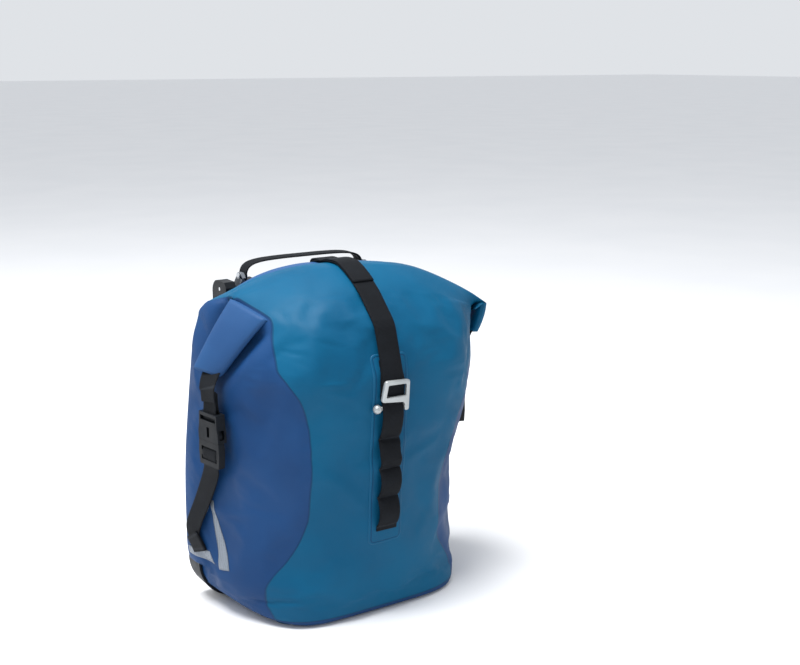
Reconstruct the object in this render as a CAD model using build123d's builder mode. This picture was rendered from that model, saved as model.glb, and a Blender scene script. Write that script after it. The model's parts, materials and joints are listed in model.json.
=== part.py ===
from build123d import *

import os
from math import atan2, cos, degrees, radians, sin

# Roll-top bicycle pannier, millimetres. The origin is at the centre of the flat base, +Z is
# up, +Y points to the luggage rack and +X to the front of the bicycle. The outer side of
# the bag, with its strap, faces -Y.

# ---- driving dimensions -------------------------------------------------------------
GAP = 0.3  # room between pieces that only lie on each other

HALF_WIDTH = 156.0  # half of the bag's width, at its back
BACK_Y = 83.0  # outer face of the back wall
HEEL_Y = 69.0  # where the side walls start
SIDE_LOW = (133.0, -2.0)  # (x, y) of a side wall's front end, at PLAN_LOW_Z
SIDE_HIGH = (146.0, -28.0)  # the same at PLAN_HIGH_Z
CHEEK_LOW, FRONT_END_LOW, FRONT_MID_LOW = (96.0, -47.0), (52.0, -70.0), -75.0
CHEEK_HIGH, FRONT_END_HIGH, FRONT_MID_HIGH = (142.0, -58.0), (110.0, -88.0), -99.0
PLAN_LOW_Z, PLAN_HIGH_Z = -20.0, 420.0
FRONT_LOW = (-68.5, 28.0)  # (y, z) where the front wall starts
FRONT_HIGH = (-89.5, 272.0)  # (y, z) where the front wall turns back
CREST_Z = 359.0  # top of the fabric shell, under the roll
END_Z = 320.0  # top of the fabric shell at its two ends
SHELL_BASE_Z = 3.0  # the shell stands on the base panel
WALL = 2.0  # fabric wall
CORNER_R = 45.0  # lower corners, seen from the front

ROLL_HALF_DEPTH = 28.0
ROLL_THICK = 12.0
ROLL_END_Z = 272.0  # lower end of the roll's folded ends
STRIP_LOW, STRIP_HIGH = 5.3, 7.1  # the stiffening strip's faces, over the crest
STRIP_CUT = 34.0  # how far the strip ends short of the bag's width
STRIP_HALF_DEPTH = 15.0

WEB = 25.0  # webbing width
WEB_THICK = 1.8

RAIL_FOOT = (20.0, 4.0)  # height and depth of a rail's foot
RAIL_HEAD = (28.0, 4.0)  # height and depth of a rail's head
UPPER_RAIL_Z, UPPER_RAIL_HALF = 271.0, 125.0
LOWER_RAIL_Z, LOWER_RAIL_HALF = 98.0, 90.0
UPPER_SCREWS = [(x, UPPER_RAIL_Z) for x in (-113.0, -38.0, 38.0, 113.0)]
LOWER_SCREWS = [(x, LOWER_RAIL_Z) for x in (-78.0, 78.0)]
SCREW_R, SCREW_HEAD_R = 2.5, 4.4
HEAD_DEEP = 3.2  # depth of the counterbore for a screw's head
STIFFENER_THICK = 2.5
SLOT_CLEAR = 0.2  # room round the rail in a hook's slot

HOOK_X = 78.0  # centre of a rack hook
HOOK_WIDTH = 40.0
LATCH_WIDTH = 14.0
SEAT_Y, SEAT_Z, SEAT_R = 110.0, 324.0, 8.1  # holds a 16 mm rack tube
PIVOT_Y, PIVOT_Z, PIN_R = 105.0, 341.0, 2.0
HUB_R = 5.2
SPRING_POCKET = 3.2  # width of the room for the latch's coil spring
EAR = 4.0  # width of the latch's ear
RIVET_R = 1.5
RIVET_Y, RIVET_Z = PIVOT_Y - 13.0, PIVOT_Z + 15.0
RIVET_SHIFT = (-5.5, -2.1)  # how the rivet moves in the ear while the latch opens by 20 degrees
HANDLE_X = HOOK_X - 3.4  # outer face of the handle's ends, beside the latches' ears
HANDLE_DEPTH = 18.0
HANDLE_TOP = 373.0

BUCKLE_Z = 204.0  # seam between a buckle's socket and its plug
BUCKLE_OUT = 3.2  # stand-off of a buckle from the side wall
BUCKLE_THICK = 11.0
BUCKLE_Y = 12.0
ANCHOR_Y, ANCHOR_Z = 54.0, 74.0  # the side strap's sewn foot, behind and below its buckle
REFLECTOR_Y, REFLECTOR_Z, REFLECTOR_OUT = 24.0, 95.0, 1.6

PATCH_LOW_Z, PATCH_HIGH_Z, PATCH_WIDTH, PATCH_THICK = 92.0, 288.0, 42.0, 0.8
PATCH_OUT = 1.2
LOOPS_LOW_Z = 108.0
LOOP_SEAMS = (0.0, 33.0, 65.5, 98.0, 142.0)  # sewn lines of the loops, up from the lowest
LOOP_RISE = 9.4
SEAM = 2.8  # height of a sewn line
LOOPS_OUT = PATCH_OUT + PATCH_THICK + GAP
ARM_Z = 236.0  # arm of the front hook, inside the top loop
HOOK_BAR_UP = 26.8  # the hook's top bar, above its arm
STRAP_SPLIT_Z = 318.0  # the strap's end below this moves with the hook

# ---- derived dimensions -------------------------------------------------------------
BACK_OUT = BACK_Y + GAP  # first free plane behind the back wall
RAIL_OUT = BACK_OUT + RAIL_FOOT[1] + RAIL_HEAD[1]
HOOK_FACE_Y = 97.5  # outer face of the hooks, over the rail
SWIVEL_Y = 98.3  # the swivel hook's disc starts here
STRAP_TOP = CREST_Z + ROLL_THICK + 2.0  # middle of the strap's thickness, over the roll
FRONT_LEAN = atan2(FRONT_LOW[0] - FRONT_HIGH[0], FRONT_HIGH[1] - FRONT_LOW[1])
BACK = Plane.XZ  # local x is X and local y is Z; the normal is -Y

os.makedirs("parts", exist_ok=True)


def save(piece, name):
    """Labels a finished piece and writes it as its own STEP."""
    piece.part.label = name
    export_step(piece.part, f"parts/{name}.step")


def side_name(side, name):
    """Name of a piece that is there twice; side is -1 for left and 1 for right."""
    return f"{'left' if side < 0 else 'right'}_{name}"


def blend(low, high, z):
    """The point of a plan corner at height z, between its low and its high place."""
    t = (z - PLAN_LOW_Z) / (PLAN_HIGH_Z - PLAN_LOW_Z)
    return tuple(a + (b - a) * t for a, b in zip(low, high))


def front_plane(z, stand_off=0.0):
    """Plane on the front wall at height z: local y runs up the wall, the normal points out."""
    along = (z - FRONT_LOW[1]) / (FRONT_HIGH[1] - FRONT_LOW[1])
    y = FRONT_LOW[0] + (FRONT_HIGH[0] - FRONT_LOW[0]) * along - stand_off
    return Plane(origin=(0, y, z), x_dir=(1, 0, 0), z_dir=(0, -cos(FRONT_LEAN), -sin(FRONT_LEAN)))


def side_plane(side, z, out=0.0, y=BUCKLE_Y):
    """Plane on a side wall at height z: local y is up, the normal points out of the bag."""
    end_x, end_y = blend(SIDE_LOW, SIDE_HIGH, z)
    lean = atan2(HALF_WIDTH - end_x, HEEL_Y - end_y)
    wall_x = HALF_WIDTH - (HEEL_Y - y) * (HALF_WIDTH - end_x) / (HEEL_Y - end_y)
    normal = (side * cos(lean), -sin(lean), 0)
    return Plane(
        origin=(side * wall_x + out * normal[0], y + out * normal[1], z),
        x_dir=(sin(lean), side * cos(lean), 0),
        z_dir=normal,
    )


def edge_plane(plane):
    """The plane across another one: local x runs up it and local y out of it."""
    return Plane(origin=plane.origin, x_dir=plane.y_dir, z_dir=plane.x_dir)


def yz(x):
    """The plane across X: local x is Y and local y is Z."""
    return Plane.YZ.offset(x)


def bars(places, radius, y_low, y_high):
    """Round bars along Y at places (x, z)."""
    with BuildPart() as made:
        with BuildSketch(BACK.offset(-y_low)):
            with Locations(*places):
                Circle(radius)
        extrude(amount=y_low - y_high)
    return made.part


def pins_across(radius, centre, x_low, x_high):
    """A round bar along X at centre (y, z)."""
    with BuildPart() as made:
        with BuildSketch(yz(x_low)):
            with Locations(centre):
                Circle(radius)
        extrude(amount=x_high - x_low)
    return made.part


def slab(plane, points, low, high):
    """A polygon on a plane, extruded between two stand-offs."""
    with BuildPart() as made:
        with BuildSketch(plane.offset(low)):
            Polygon(*points, align=None)
        extrude(amount=high - low)
    return made.part


def block(plane, x_range, y_range, z_range):
    """A rectangular block on a plane, given by its ranges."""
    (x0, x1), (y0, y1) = x_range, y_range
    return slab(plane, [(x0, y0), (x1, y0), (x1, y1), (x0, y1)], *z_range)


def webbing(plane, points, radii, thickness=WEB_THICK):
    """Webbing along a filleted line on a plane, with its width across the plane."""
    with BuildPart() as made:
        with BuildSketch(plane):
            with BuildLine():
                FilletPolyline(*points, radius=radii)
                offset(amount=thickness / 2)
            make_face()
        extrude(amount=WEB / 2, both=True)
    return made.part


# ---- fabric shell -------------------------------------------------------------------
def front_face(grow):
    """The bag's outline seen from the front, grown by an amount."""
    low = SHELL_BASE_Z
    foot_x = HALF_WIDTH - 4 - CORNER_R
    diagonal = CORNER_R * sin(radians(45))
    with BuildSketch() as face:
        with BuildLine():
            base = Line((-foot_x, low), (foot_x, low))
            corner = (foot_x + diagonal, low + CORNER_R - diagonal)
            right = ThreePointArc(base @ 1, corner, (foot_x + CORNER_R, low + CORNER_R))
            side = Line(right @ 1, (HALF_WIDTH, END_Z - 28))
            shoulder = ThreePointArc(side @ 1, (HALF_WIDTH - 5, END_Z - 9), (HALF_WIDTH - 18, END_Z))
            crest = ThreePointArc(shoulder @ 1, (0, CREST_Z), (18 - HALF_WIDTH, END_Z))
            left_side = (-HALF_WIDTH, END_Z - 28)
            left = ThreePointArc(crest @ 1, (5 - HALF_WIDTH, END_Z - 9), left_side)
            fall = Line(left @ 1, (-foot_x - CORNER_R, low + CORNER_R))
            ThreePointArc(fall @ 1, (-corner[0], corner[1]), base @ 0)
        make_face()
        if grow:
            offset(amount=grow, kind=Kind.TANGENT, mode=Mode.REPLACE)
    return face.sketch


def side_face(grow):
    """The bag's outline seen from its side, grown by an amount."""
    low = SHELL_BASE_Z
    with BuildSketch() as face:
        with BuildLine():
            base = Line((BACK_Y - 12, low), (FRONT_LOW[0] + 23.5, low))
            toe = ThreePointArc(base @ 1, (FRONT_LOW[0] + 7, low + 7), FRONT_LOW)
            wall = Line(toe @ 1, FRONT_HIGH)
            brow = ThreePointArc(wall @ 1, (-84.5, 314), (-65, 339))
            slope = Line(brow @ 1, (-ROLL_HALF_DEPTH, CREST_Z))
            top = Line(slope @ 1, (ROLL_HALF_DEPTH, CREST_Z))
            rear = Line(top @ 1, (BACK_Y - 8, 336))
            edge = ThreePointArc(rear @ 1, (BACK_Y - 1.5, 331), (BACK_Y, 324))
            back = Line(edge @ 1, (BACK_Y, low + 12))
            ThreePointArc(back @ 1, (BACK_Y - 3.5, low + 3.5), base @ 0)
        make_face()
        if grow:
            offset(amount=grow, kind=Kind.TANGENT, mode=Mode.REPLACE)
    return face.sketch


def plan_face(side_end, cheek, front_end, front_mid, grow):
    """The bag's outline seen from above, grown by an amount."""
    with BuildSketch() as face:
        with BuildLine():
            heel = (HALF_WIDTH - 4, BACK_Y - 4)
            back = Line((14 - HALF_WIDTH, BACK_Y), (HALF_WIDTH - 14, BACK_Y))
            right_heel = ThreePointArc(back @ 1, heel, (HALF_WIDTH, HEEL_Y))
            right = Line(right_heel @ 1, side_end)
            right_cheek = ThreePointArc(right @ 1, cheek, front_end)
            front = ThreePointArc(right_cheek @ 1, (0, front_mid), (-front_end[0], front_end[1]))
            left_cheek = ThreePointArc(front @ 1, (-cheek[0], cheek[1]), (-side_end[0], side_end[1]))
            left = Line(left_cheek @ 1, (-HALF_WIDTH, HEEL_Y))
            ThreePointArc(left @ 1, (-heel[0], heel[1]), back @ 0)
        make_face()
        if grow:
            offset(amount=grow, kind=Kind.TANGENT, mode=Mode.REPLACE)
    return face.sketch


def bag_volume(grow):
    """The space that the outlines share, each grown by an amount; it widens towards the top."""
    low = plan_face(SIDE_LOW, CHEEK_LOW, FRONT_END_LOW, FRONT_MID_LOW, grow)
    high = plan_face(SIDE_HIGH, CHEEK_HIGH, FRONT_END_HIGH, FRONT_MID_HIGH, grow)
    with BuildPart() as volume:
        with BuildSketch(Plane.XY.offset(PLAN_LOW_Z)):
            add(low)
        with BuildSketch(Plane.XY.offset(PLAN_HIGH_Z)):
            add(high)
        loft()
        with BuildSketch(Plane.XZ):
            add(front_face(grow))
        extrude(amount=500, both=True, mode=Mode.INTERSECT)
        with BuildSketch(Plane.YZ):
            add(side_face(grow))
        extrude(amount=500, both=True, mode=Mode.INTERSECT)
    return volume.part


def bag_shell():
    """Welded fabric body, shut by its roll: a thin hollow shell with screw holes in its back."""
    outside = bag_volume(0)
    inside = bag_volume(-WALL)
    holes = bars(UPPER_SCREWS + LOWER_SCREWS, SCREW_R + 0.2, BACK_Y - WALL - 1, BACK_Y + 1)
    with BuildPart() as shell:
        add(outside)
        add(inside, mode=Mode.SUBTRACT)
        add(holes, mode=Mode.SUBTRACT)
    save(shell, "bag_shell")


def base_panel():
    """Reinforced bottom sheet that the bag stands on."""
    with BuildPart() as panel:
        with BuildSketch(Plane.XY):
            with Locations((0, 12)):
                RectangleRounded(206, 108, 18)
        extrude(amount=SHELL_BASE_Z - GAP)
    save(panel, "base_panel")


def edge_guard(side):
    """Moulded guard round one lower back corner, with a plate on the back wall."""
    centre = (side * (HALF_WIDTH - 4 - CORNER_R), SHELL_BASE_Z + CORNER_R)
    outer = CORNER_R + SHELL_BASE_Z - 0.2
    inner = CORNER_R + GAP
    wing = 15.0
    quarter = (centre[0] + side * 60, centre[1] - 60)
    with BuildPart() as guard:
        for r_in, depth in ((inner, 26 + 2.9), (inner - wing, 2.6)):
            with BuildSketch(BACK.offset(-(BACK_OUT + 2.6 - depth))):
                with Locations(centre):
                    Circle(outer)
                    Circle(r_in, mode=Mode.SUBTRACT)
                with Locations(quarter):
                    Rectangle(120, 120, mode=Mode.INTERSECT)
            extrude(amount=-depth)
    save(guard, side_name(side, "edge_guard"))


# ---- rolled closure -----------------------------------------------------------------
def crest_band(low, high, half, z_low):
    """Band over the crest, seen from the front, between two distances from the shell."""
    outside = front_face(high)
    inside = front_face(low)
    with BuildSketch() as band:
        add(outside)
        add(inside, mode=Mode.SUBTRACT)
        with Locations((0, z_low + 100)):
            Rectangle(2 * half, 200, mode=Mode.INTERSECT)
    return band.sketch


def roll_closure():
    """The rolled collar: along the crest, folded down over both ends, hollow for its strip."""
    band = crest_band(GAP, ROLL_THICK, 2 * HALF_WIDTH, ROLL_END_Z)
    pocket = crest_band(STRIP_LOW - GAP, STRIP_HIGH + GAP, HALF_WIDTH - STRIP_CUT + GAP, END_Z)
    with BuildPart() as roll:
        with BuildSketch(Plane.XZ):
            add(band)
        extrude(amount=100, both=True)
        with BuildSketch(Plane.YZ):
            with BuildLine():
                Polyline(
                    (-ROLL_HALF_DEPTH, 400),
                    (-ROLL_HALF_DEPTH, 330),
                    (6, ROLL_END_Z - 1),
                    (42, ROLL_END_Z - 1),
                    (46, 300),
                    (ROLL_HALF_DEPTH, 338),
                    (ROLL_HALF_DEPTH, 400),
                    close=True,
                )
            make_face()
        extrude(amount=200, both=True, mode=Mode.INTERSECT)
        with BuildSketch(Plane.XZ):
            add(pocket)
        extrude(amount=STRIP_HALF_DEPTH + GAP, both=True, mode=Mode.SUBTRACT)
    save(roll, "roll_closure")


def closure_strip():
    """Plastic strip inside the rolled collar that lets it roll straight."""
    band = crest_band(STRIP_LOW, STRIP_HIGH, HALF_WIDTH - STRIP_CUT, END_Z)
    with BuildPart() as strip:
        with BuildSketch(Plane.XZ):
            add(band)
        extrude(amount=STRIP_HALF_DEPTH, both=True)
    save(strip, "closure_strip")


# ---- back plate, rails and their fasteners ------------------------------------------
def back_stiffener():
    """Plastic sheet inside the back wall that carries the rails."""
    out = BACK_Y - WALL - GAP
    holes = bars(UPPER_SCREWS + LOWER_SCREWS, SCREW_R + 0.2, out - 4, out + 1)
    with BuildPart() as sheet:
        with BuildSketch(BACK.offset(STIFFENER_THICK - out)):
            with Locations((0, 176)):
                RectangleRounded(276, 272, 34)
        extrude(amount=-STIFFENER_THICK)
        add(holes, mode=Mode.SUBTRACT)
    save(sheet, "back_stiffener")


def rail(name, half, z, places):
    """T-section rail along X, screwed through the back wall."""
    holes = bars(places, SCREW_R + 0.2, BACK_OUT - 1, RAIL_OUT + 1)
    counterbores = bars(places, SCREW_HEAD_R + 0.4, RAIL_OUT - HEAD_DEEP, RAIL_OUT + 1)
    with BuildPart() as bar:
        for (height, depth), start in ((RAIL_FOOT, 0.0), (RAIL_HEAD, RAIL_FOOT[1])):
            with BuildSketch(BACK.offset(-(BACK_OUT + start))):
                with Locations((0, z)):
                    Rectangle(2 * half, height)
            extrude(amount=-depth)
        corners = bar.edges().filter_by(Axis.Y).group_by(Axis.X)
        fillet(corners[0] + corners[-1], 2.0)
        add(holes, mode=Mode.SUBTRACT)
        add(counterbores, mode=Mode.SUBTRACT)
    save(bar, name)


def rail_screws(name, places):
    """Cheese-head screws of one rail, with a hexagon socket."""
    shafts = bars(places, SCREW_R, BACK_Y - 12, RAIL_OUT - HEAD_DEEP)
    heads = bars(places, SCREW_HEAD_R, RAIL_OUT - HEAD_DEEP, RAIL_OUT - 0.4)
    with BuildPart() as screws:
        add(shafts)
        add(heads)
        with BuildSketch(BACK.offset(2.6 - RAIL_OUT)):
            with Locations(*places):
                RegularPolygon(1.6, 6)
        extrude(amount=-3, mode=Mode.SUBTRACT)
    save(screws, name)


def rail_nuts(name, places):
    """Flanged nuts of one rail, inside the bag."""
    seat = BACK_Y - WALL - GAP - STIFFENER_THICK
    flanges = bars(places, 7.0, seat - 1.2, seat)
    bores = bars(places, SCREW_R + 0.05, seat - 6, seat + 1)
    with BuildPart() as nuts:
        add(flanges)
        with BuildSketch(BACK.offset(5.2 - seat)):
            with Locations(*places):
                RegularPolygon(4.6, 6)
        extrude(amount=-4.0)
        add(bores, mode=Mode.SUBTRACT)
    save(nuts, name)


def rail_slots(z, x_low, x_high):
    """The space that a rail takes in a piece that slides on it."""
    foot_y = (BACK_OUT - 1, BACK_OUT + RAIL_FOOT[1] + SLOT_CLEAR)
    head_y = (BACK_OUT + RAIL_FOOT[1] - SLOT_CLEAR, RAIL_OUT + SLOT_CLEAR)
    with BuildPart() as made:
        for (height, _), y_range in ((RAIL_FOOT, foot_y), (RAIL_HEAD, head_y)):
            with BuildSketch(yz(x_low)):
                with Locations((sum(y_range) / 2, z)):
                    Rectangle(y_range[1] - y_range[0], height + 2 * SLOT_CLEAR)
            extrude(amount=x_high - x_low)
    return made.part


# ---- rack hooks ---------------------------------------------------------------------
def hook_face():
    """Side view of a rack hook: foot on the rail, neck, and a crook open downwards."""
    inner, outer = SEAT_Y - SEAT_R, SEAT_Y + SEAT_R
    start = (BACK_OUT + GAP, 252)
    with BuildSketch() as face:
        with BuildLine():
            foot = Polyline(start, (HOOK_FACE_Y, 252), (HOOK_FACE_Y, 292), (inner, 299), (inner, SEAT_Z))
            seat = ThreePointArc(foot @ 1, (SEAT_Y, SEAT_Z + SEAT_R), (outer, SEAT_Z))
            tip = [(outer, 306), (outer + 3, 303), (outer + 6, 307), (outer + 6, 334)]
            lip = Polyline(seat @ 1, *tip)
            brow = ThreePointArc(lip @ 1, (120, 346), (108, 350))
            Polyline(brow @ 1, (92, 350), (88, 344), (88, 300), (BACK_OUT + GAP, 292), start)
        make_face()
    return face.sketch


def rack_hook(side):
    """One rack hook, two cheeks wide, with a slot for the rail and one for its latch."""
    middle = side * HOOK_X
    x0, x1 = middle - HOOK_WIDTH / 2, middle + HOOK_WIDTH / 2
    profile = hook_face()
    rail_room = rail_slots(UPPER_RAIL_Z, x0 - 1, x1 + 1)
    latch_room = block(yz(middle), (80, 140), (298, 362), (-LATCH_WIDTH / 2 - 0.5, LATCH_WIDTH / 2 + 0.5))
    pin_bore = pins_across(PIN_R, (PIVOT_Y, PIVOT_Z), x0 - 1, x1 + 1)
    clamp_bore = bars([(middle, UPPER_RAIL_Z)], 2.1, RAIL_OUT, HOOK_FACE_Y + 1)
    with BuildPart() as hook:
        with BuildSketch(yz(x0)):
            add(profile)
        extrude(amount=HOOK_WIDTH)
        add([rail_room, latch_room, pin_bore, clamp_bore], mode=Mode.SUBTRACT)
    save(hook, side_name(side, "hook"))


def latch_pins():
    """Two pins, one in each hook, that the latches turn on."""
    pins = [
        pins_across(PIN_R, (PIVOT_Y, PIVOT_Z), s * HOOK_X - HOOK_WIDTH / 2, s * HOOK_X + HOOK_WIDTH / 2)
        for s in (-1, 1)
    ]
    with BuildPart() as group:
        add(pins)
    save(group, "latch_pins")


def clamp_screws():
    """Screws that press on the rail and lock the hooks in place along it."""
    places = [(-HOOK_X, UPPER_RAIL_Z), (HOOK_X, UPPER_RAIL_Z)]
    shafts = bars(places, 2.0, RAIL_OUT + 0.05, HOOK_FACE_Y + 0.2)
    heads = bars(places, 3.4, HOOK_FACE_Y + 0.2, HOOK_FACE_Y + 2.4)
    with BuildPart() as screws:
        add(shafts)
        add(heads)
        with BuildSketch(BACK.offset(-(HOOK_FACE_Y + 1.0))):
            with Locations(*places):
                RegularPolygon(1.4, 6)
        extrude(amount=-3, mode=Mode.SUBTRACT)
    save(screws, "clamp_screws")


def latch_springs():
    """Coil springs round the latch pins, beside the latches' hubs."""
    with BuildPart() as springs:
        for side in (-1, 1):
            start = side * HOOK_X - LATCH_WIDTH / 2 + 0.6
            with BuildLine():
                middle = (start, PIVOT_Y, PIVOT_Z)
                coil = Helix(pitch=0.95, height=1.9, radius=3.3, center=middle, direction=(1, 0, 0))
            with BuildSketch(Plane(origin=coil @ 0, z_dir=coil % 0)):
                Circle(0.35)
            sweep(path=coil)
    save(springs, "latch_springs")


def rack_latch(side):
    """Latch under the rack tube: hub on the pin, tail with a nose, and an ear for the handle."""
    x0 = side * HOOK_X - LATCH_WIDTH / 2
    tail = [
        (PIVOT_Y - 5.0, PIVOT_Z + 3.0),
        (PIVOT_Y - 7.8, PIVOT_Z - 8.0),
        (PIVOT_Y - 8.0, 309),
        (PIVOT_Y + 4.5, 308),
        (PIVOT_Y + 7.0, 310),
        (PIVOT_Y + 5.5, 314.6),
        (PIVOT_Y - 3.6, 313.4),
        (PIVOT_Y - 3.6, 330),
        (PIVOT_Y + 1.0, PIVOT_Z - 4.0),
    ]
    ear = [
        (PIVOT_Y - 2, PIVOT_Z - 2),
        (PIVOT_Y - 6, PIVOT_Z - 2),
        (PIVOT_Y - 18.5, PIVOT_Z + 8.6),
        (PIVOT_Y - 21.5, PIVOT_Z + 13.5),
        (PIVOT_Y - 17.5, PIVOT_Z + 18.5),
        (PIVOT_Y - 9.5, PIVOT_Z + 18.5),
        (PIVOT_Y + 2, PIVOT_Z + 4),
    ]
    arm = slab(yz(x0), tail, 0, LATCH_WIDTH)
    hub = pins_across(HUB_R, (PIVOT_Y, PIVOT_Z), x0, x0 + LATCH_WIDTH)
    lug = slab(yz(side * HOOK_X), ear, -EAR / 2, EAR / 2)
    bore = pins_across(PIN_R + 0.06, (PIVOT_Y, PIVOT_Z), x0 - 1, x0 + LATCH_WIDTH + 1)
    pocket = pins_across(HUB_R + 0.3, (PIVOT_Y, PIVOT_Z), x0 - 1, x0 + SPRING_POCKET)
    middle = (RIVET_Y + RIVET_SHIFT[0] / 2, RIVET_Z + RIVET_SHIFT[1] / 2)
    turn = degrees(atan2(RIVET_SHIFT[1], RIVET_SHIFT[0]))
    with BuildPart() as latch:
        add([arm, hub, lug])
        add([bore, pocket], mode=Mode.SUBTRACT)
        with BuildSketch(yz(side * HOOK_X - EAR)):
            with Locations(Location((*middle, 0), (0, 0, turn))):
                SlotCenterToCenter(6.4, 2 * RIVET_R + 1.2)
        extrude(amount=2 * EAR, mode=Mode.SUBTRACT)
    save(latch, side_name(side, "latch"))


# ---- handle -------------------------------------------------------------------------
def handle_face(shrink):
    """Outline of the handle seen from the back, drawn in by an amount."""
    x = HANDLE_X - shrink
    low = RIVET_Z - 6.0 - shrink
    leg = RIVET_Z + 4.2
    hip = RIVET_Z + 12 - shrink
    with BuildSketch() as face:
        with BuildLine():
            left = Line((-x, low), (-x, leg))
            rise = ThreePointArc(left @ 1, (4.8 - x, leg + 4.8 - shrink), (18 - x, hip))
            arch = ThreePointArc(rise @ 1, (0, HANDLE_TOP - shrink), (x - 18, hip))
            fall = ThreePointArc(arch @ 1, (x - 4.8, leg + 4.8 - shrink), (x, leg))
            right = Line(fall @ 1, (x, low))
            Line(right @ 1, left @ 0)
        make_face()
    return face.sketch


def carry_handle():
    """Webbing handle between the two latches, arched over the bag's back edge."""
    outside, inside = handle_face(0.0), handle_face(WEB_THICK)
    holes = pins_across(RIVET_R + 0.05, (RIVET_Y, RIVET_Z), -HANDLE_X - 4, HANDLE_X + 4)
    with BuildPart() as handle:
        with BuildSketch(BACK.offset(6.0 - RIVET_Y)):
            add(outside)
            add(inside, mode=Mode.SUBTRACT)
        extrude(amount=-HANDLE_DEPTH)
        add(holes, mode=Mode.SUBTRACT)
    save(handle, "carry_handle")


def handle_rivets():
    """Rivets that join the handle's ends to the latches' ears."""
    inner_face = HANDLE_X - WEB_THICK
    stack = (
        (3.6, inner_face - 1.3, inner_face - 0.05),
        (RIVET_R, inner_face - 0.6, HOOK_X + 2.8),
        (3.6, HOOK_X + 2.6, HOOK_X + 3.6),
    )
    stubs = [
        pins_across(radius, (RIVET_Y, RIVET_Z), *sorted((side * low, side * high)))
        for side in (-1, 1)
        for radius, low, high in stack
    ]
    with BuildPart() as rivets:
        add(stubs)
    save(rivets, "handle_rivets")


# ---- lower anti-sway hook -----------------------------------------------------------
def lower_slider():
    """Block that slides along the lower rail and carries the swivel hook."""
    rail_room = rail_slots(LOWER_RAIL_Z, -21, 21)
    bore = bars([(0, LOWER_RAIL_Z)], 3.1, RAIL_OUT, SWIVEL_Y)
    with BuildPart() as slider:
        with BuildSketch(BACK.offset(-(BACK_OUT + GAP))):
            with Locations((0, LOWER_RAIL_Z)):
                RectangleRounded(40, 40, 4)
        extrude(amount=BACK_OUT + 2 * GAP - SWIVEL_Y)
        add([rail_room, bore], mode=Mode.SUBTRACT)
    save(slider, "lower_slider")


def lower_hook():
    """Swivelling anti-sway hook: a disc on the slider, a leg away from the bag and a lip."""
    place = BACK.offset(-SWIVEL_Y)
    z = LOWER_RAIL_Z
    disc = bars([(0, z)], 15, SWIVEL_Y, SWIVEL_Y + 4)
    neck = block(place, (-37, 0), (z - 10, z + 10), (-4, 0))
    leg = block(place, (-37, -32.5), (z - 10, z + 10), (-26, 0))
    lip = block(place, (-37, -13), (z - 10, z + 10), (-26, -21.5))
    bore = bars([(0, z)], 3.15, SWIVEL_Y - 1, SWIVEL_Y + 9)
    with BuildPart() as hook:
        add([disc, neck, leg, lip])
        add(bore, mode=Mode.SUBTRACT)
        tips = hook.edges().filter_by(Axis.Y).group_by(Axis.X)
        fillet(tips[0], 3.0)
    save(hook, "lower_hook")


def lower_hook_screw():
    """Shoulder screw that the swivel hook turns on."""
    place = [(0, LOWER_RAIL_Z)]
    shaft = bars(place, 3.0, RAIL_OUT + 0.4, SWIVEL_Y + 4.4)
    head = bars(place, 6.0, SWIVEL_Y + 4.4, SWIVEL_Y + 7.0)
    with BuildPart() as screw:
        add([shaft, head])
        with BuildSketch(BACK.offset(-(SWIVEL_Y + 5.2))):
            with Locations(*place):
                RegularPolygon(2.3, 6)
        extrude(amount=-4, mode=Mode.SUBTRACT)
    save(screw, "lower_hook_screw")


# ---- front patch, loops, hook and strap ---------------------------------------------
def front_patch():
    """Welded reinforcement behind the loops."""
    with BuildPart() as patch:
        with BuildSketch(front_plane((PATCH_LOW_Z + PATCH_HIGH_Z) / 2, PATCH_OUT)):
            RectangleRounded(PATCH_WIDTH, PATCH_HIGH_Z - PATCH_LOW_Z, 6)
        extrude(amount=PATCH_THICK)
    save(patch, "front_patch")


def daisy_chain():
    """Webbing sewn down at steps, so that it stands in loops between them."""
    plane = edge_plane(front_plane(LOOPS_LOW_Z, LOOPS_OUT))
    middle = WEB_THICK / 2
    top = LOOP_RISE - middle
    points = [(-SEAM, middle)]
    for low, high in zip(LOOP_SEAMS, LOOP_SEAMS[1:]):
        points += [(low + SEAM / 2, middle), (low + 9, top), (high - 7, top), (high - SEAM / 2, middle)]
    points.append((LOOP_SEAMS[-1] + SEAM, middle))
    chain_web = webbing(plane, points, [1.2, 5.0, 5.0, 1.2] * (len(LOOP_SEAMS) - 1))
    with BuildPart() as chain:
        add(chain_web)
    save(chain, "daisy_chain")


def g_hook():
    """Cast hook: a frame for the strap, a leg, and an arm with a knob behind the top loop."""
    plane = front_plane(ARM_Z, LOOPS_OUT)
    up = HOOK_BAR_UP
    frame = [
        (-15, up + 1.5), (17, up + 1.5), (19, up - 1), (19, -2.3),
        (14.4, -2.3), (14.4, up - 22), (-18, up - 22), (-19.4, up - 19),
    ]
    plate = slab(plane, frame, 10.6, 15.0)
    window = block(plane, (-13.5, 13.5), (up - 14.8, up - 1.4), (10, 16))
    leg = block(plane, (14.4, 19), (-2.3, 2.3), (1.2, 11))
    arm = block(plane, (-20, 19), (-1.9, 1.9), (1.2, 4.8))
    with BuildPart() as hook:
        add([plate, leg, arm])
        add(window, mode=Mode.SUBTRACT)
        with BuildSketch(plane.offset(0.9)):
            with Locations((-20, 0)):
                Circle(4.6)
        extrude(amount=4.4)
    save(hook, "g_hook")


def front_strap():
    """Closure strap: from the back wall over the roll and down to the front wall."""
    back = BACK_OUT + 1.4
    points = [
        (back, 292), (back, 337), (32, STRAP_TOP), (-38, STRAP_TOP), (-76, 346), (-94, STRAP_SPLIT_Z + 1.4),
    ]
    web = webbing(Plane.YZ, points, [10, 16, 12, 24])
    with BuildPart() as strap:
        add(web)
    save(strap, "front_strap")


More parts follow.
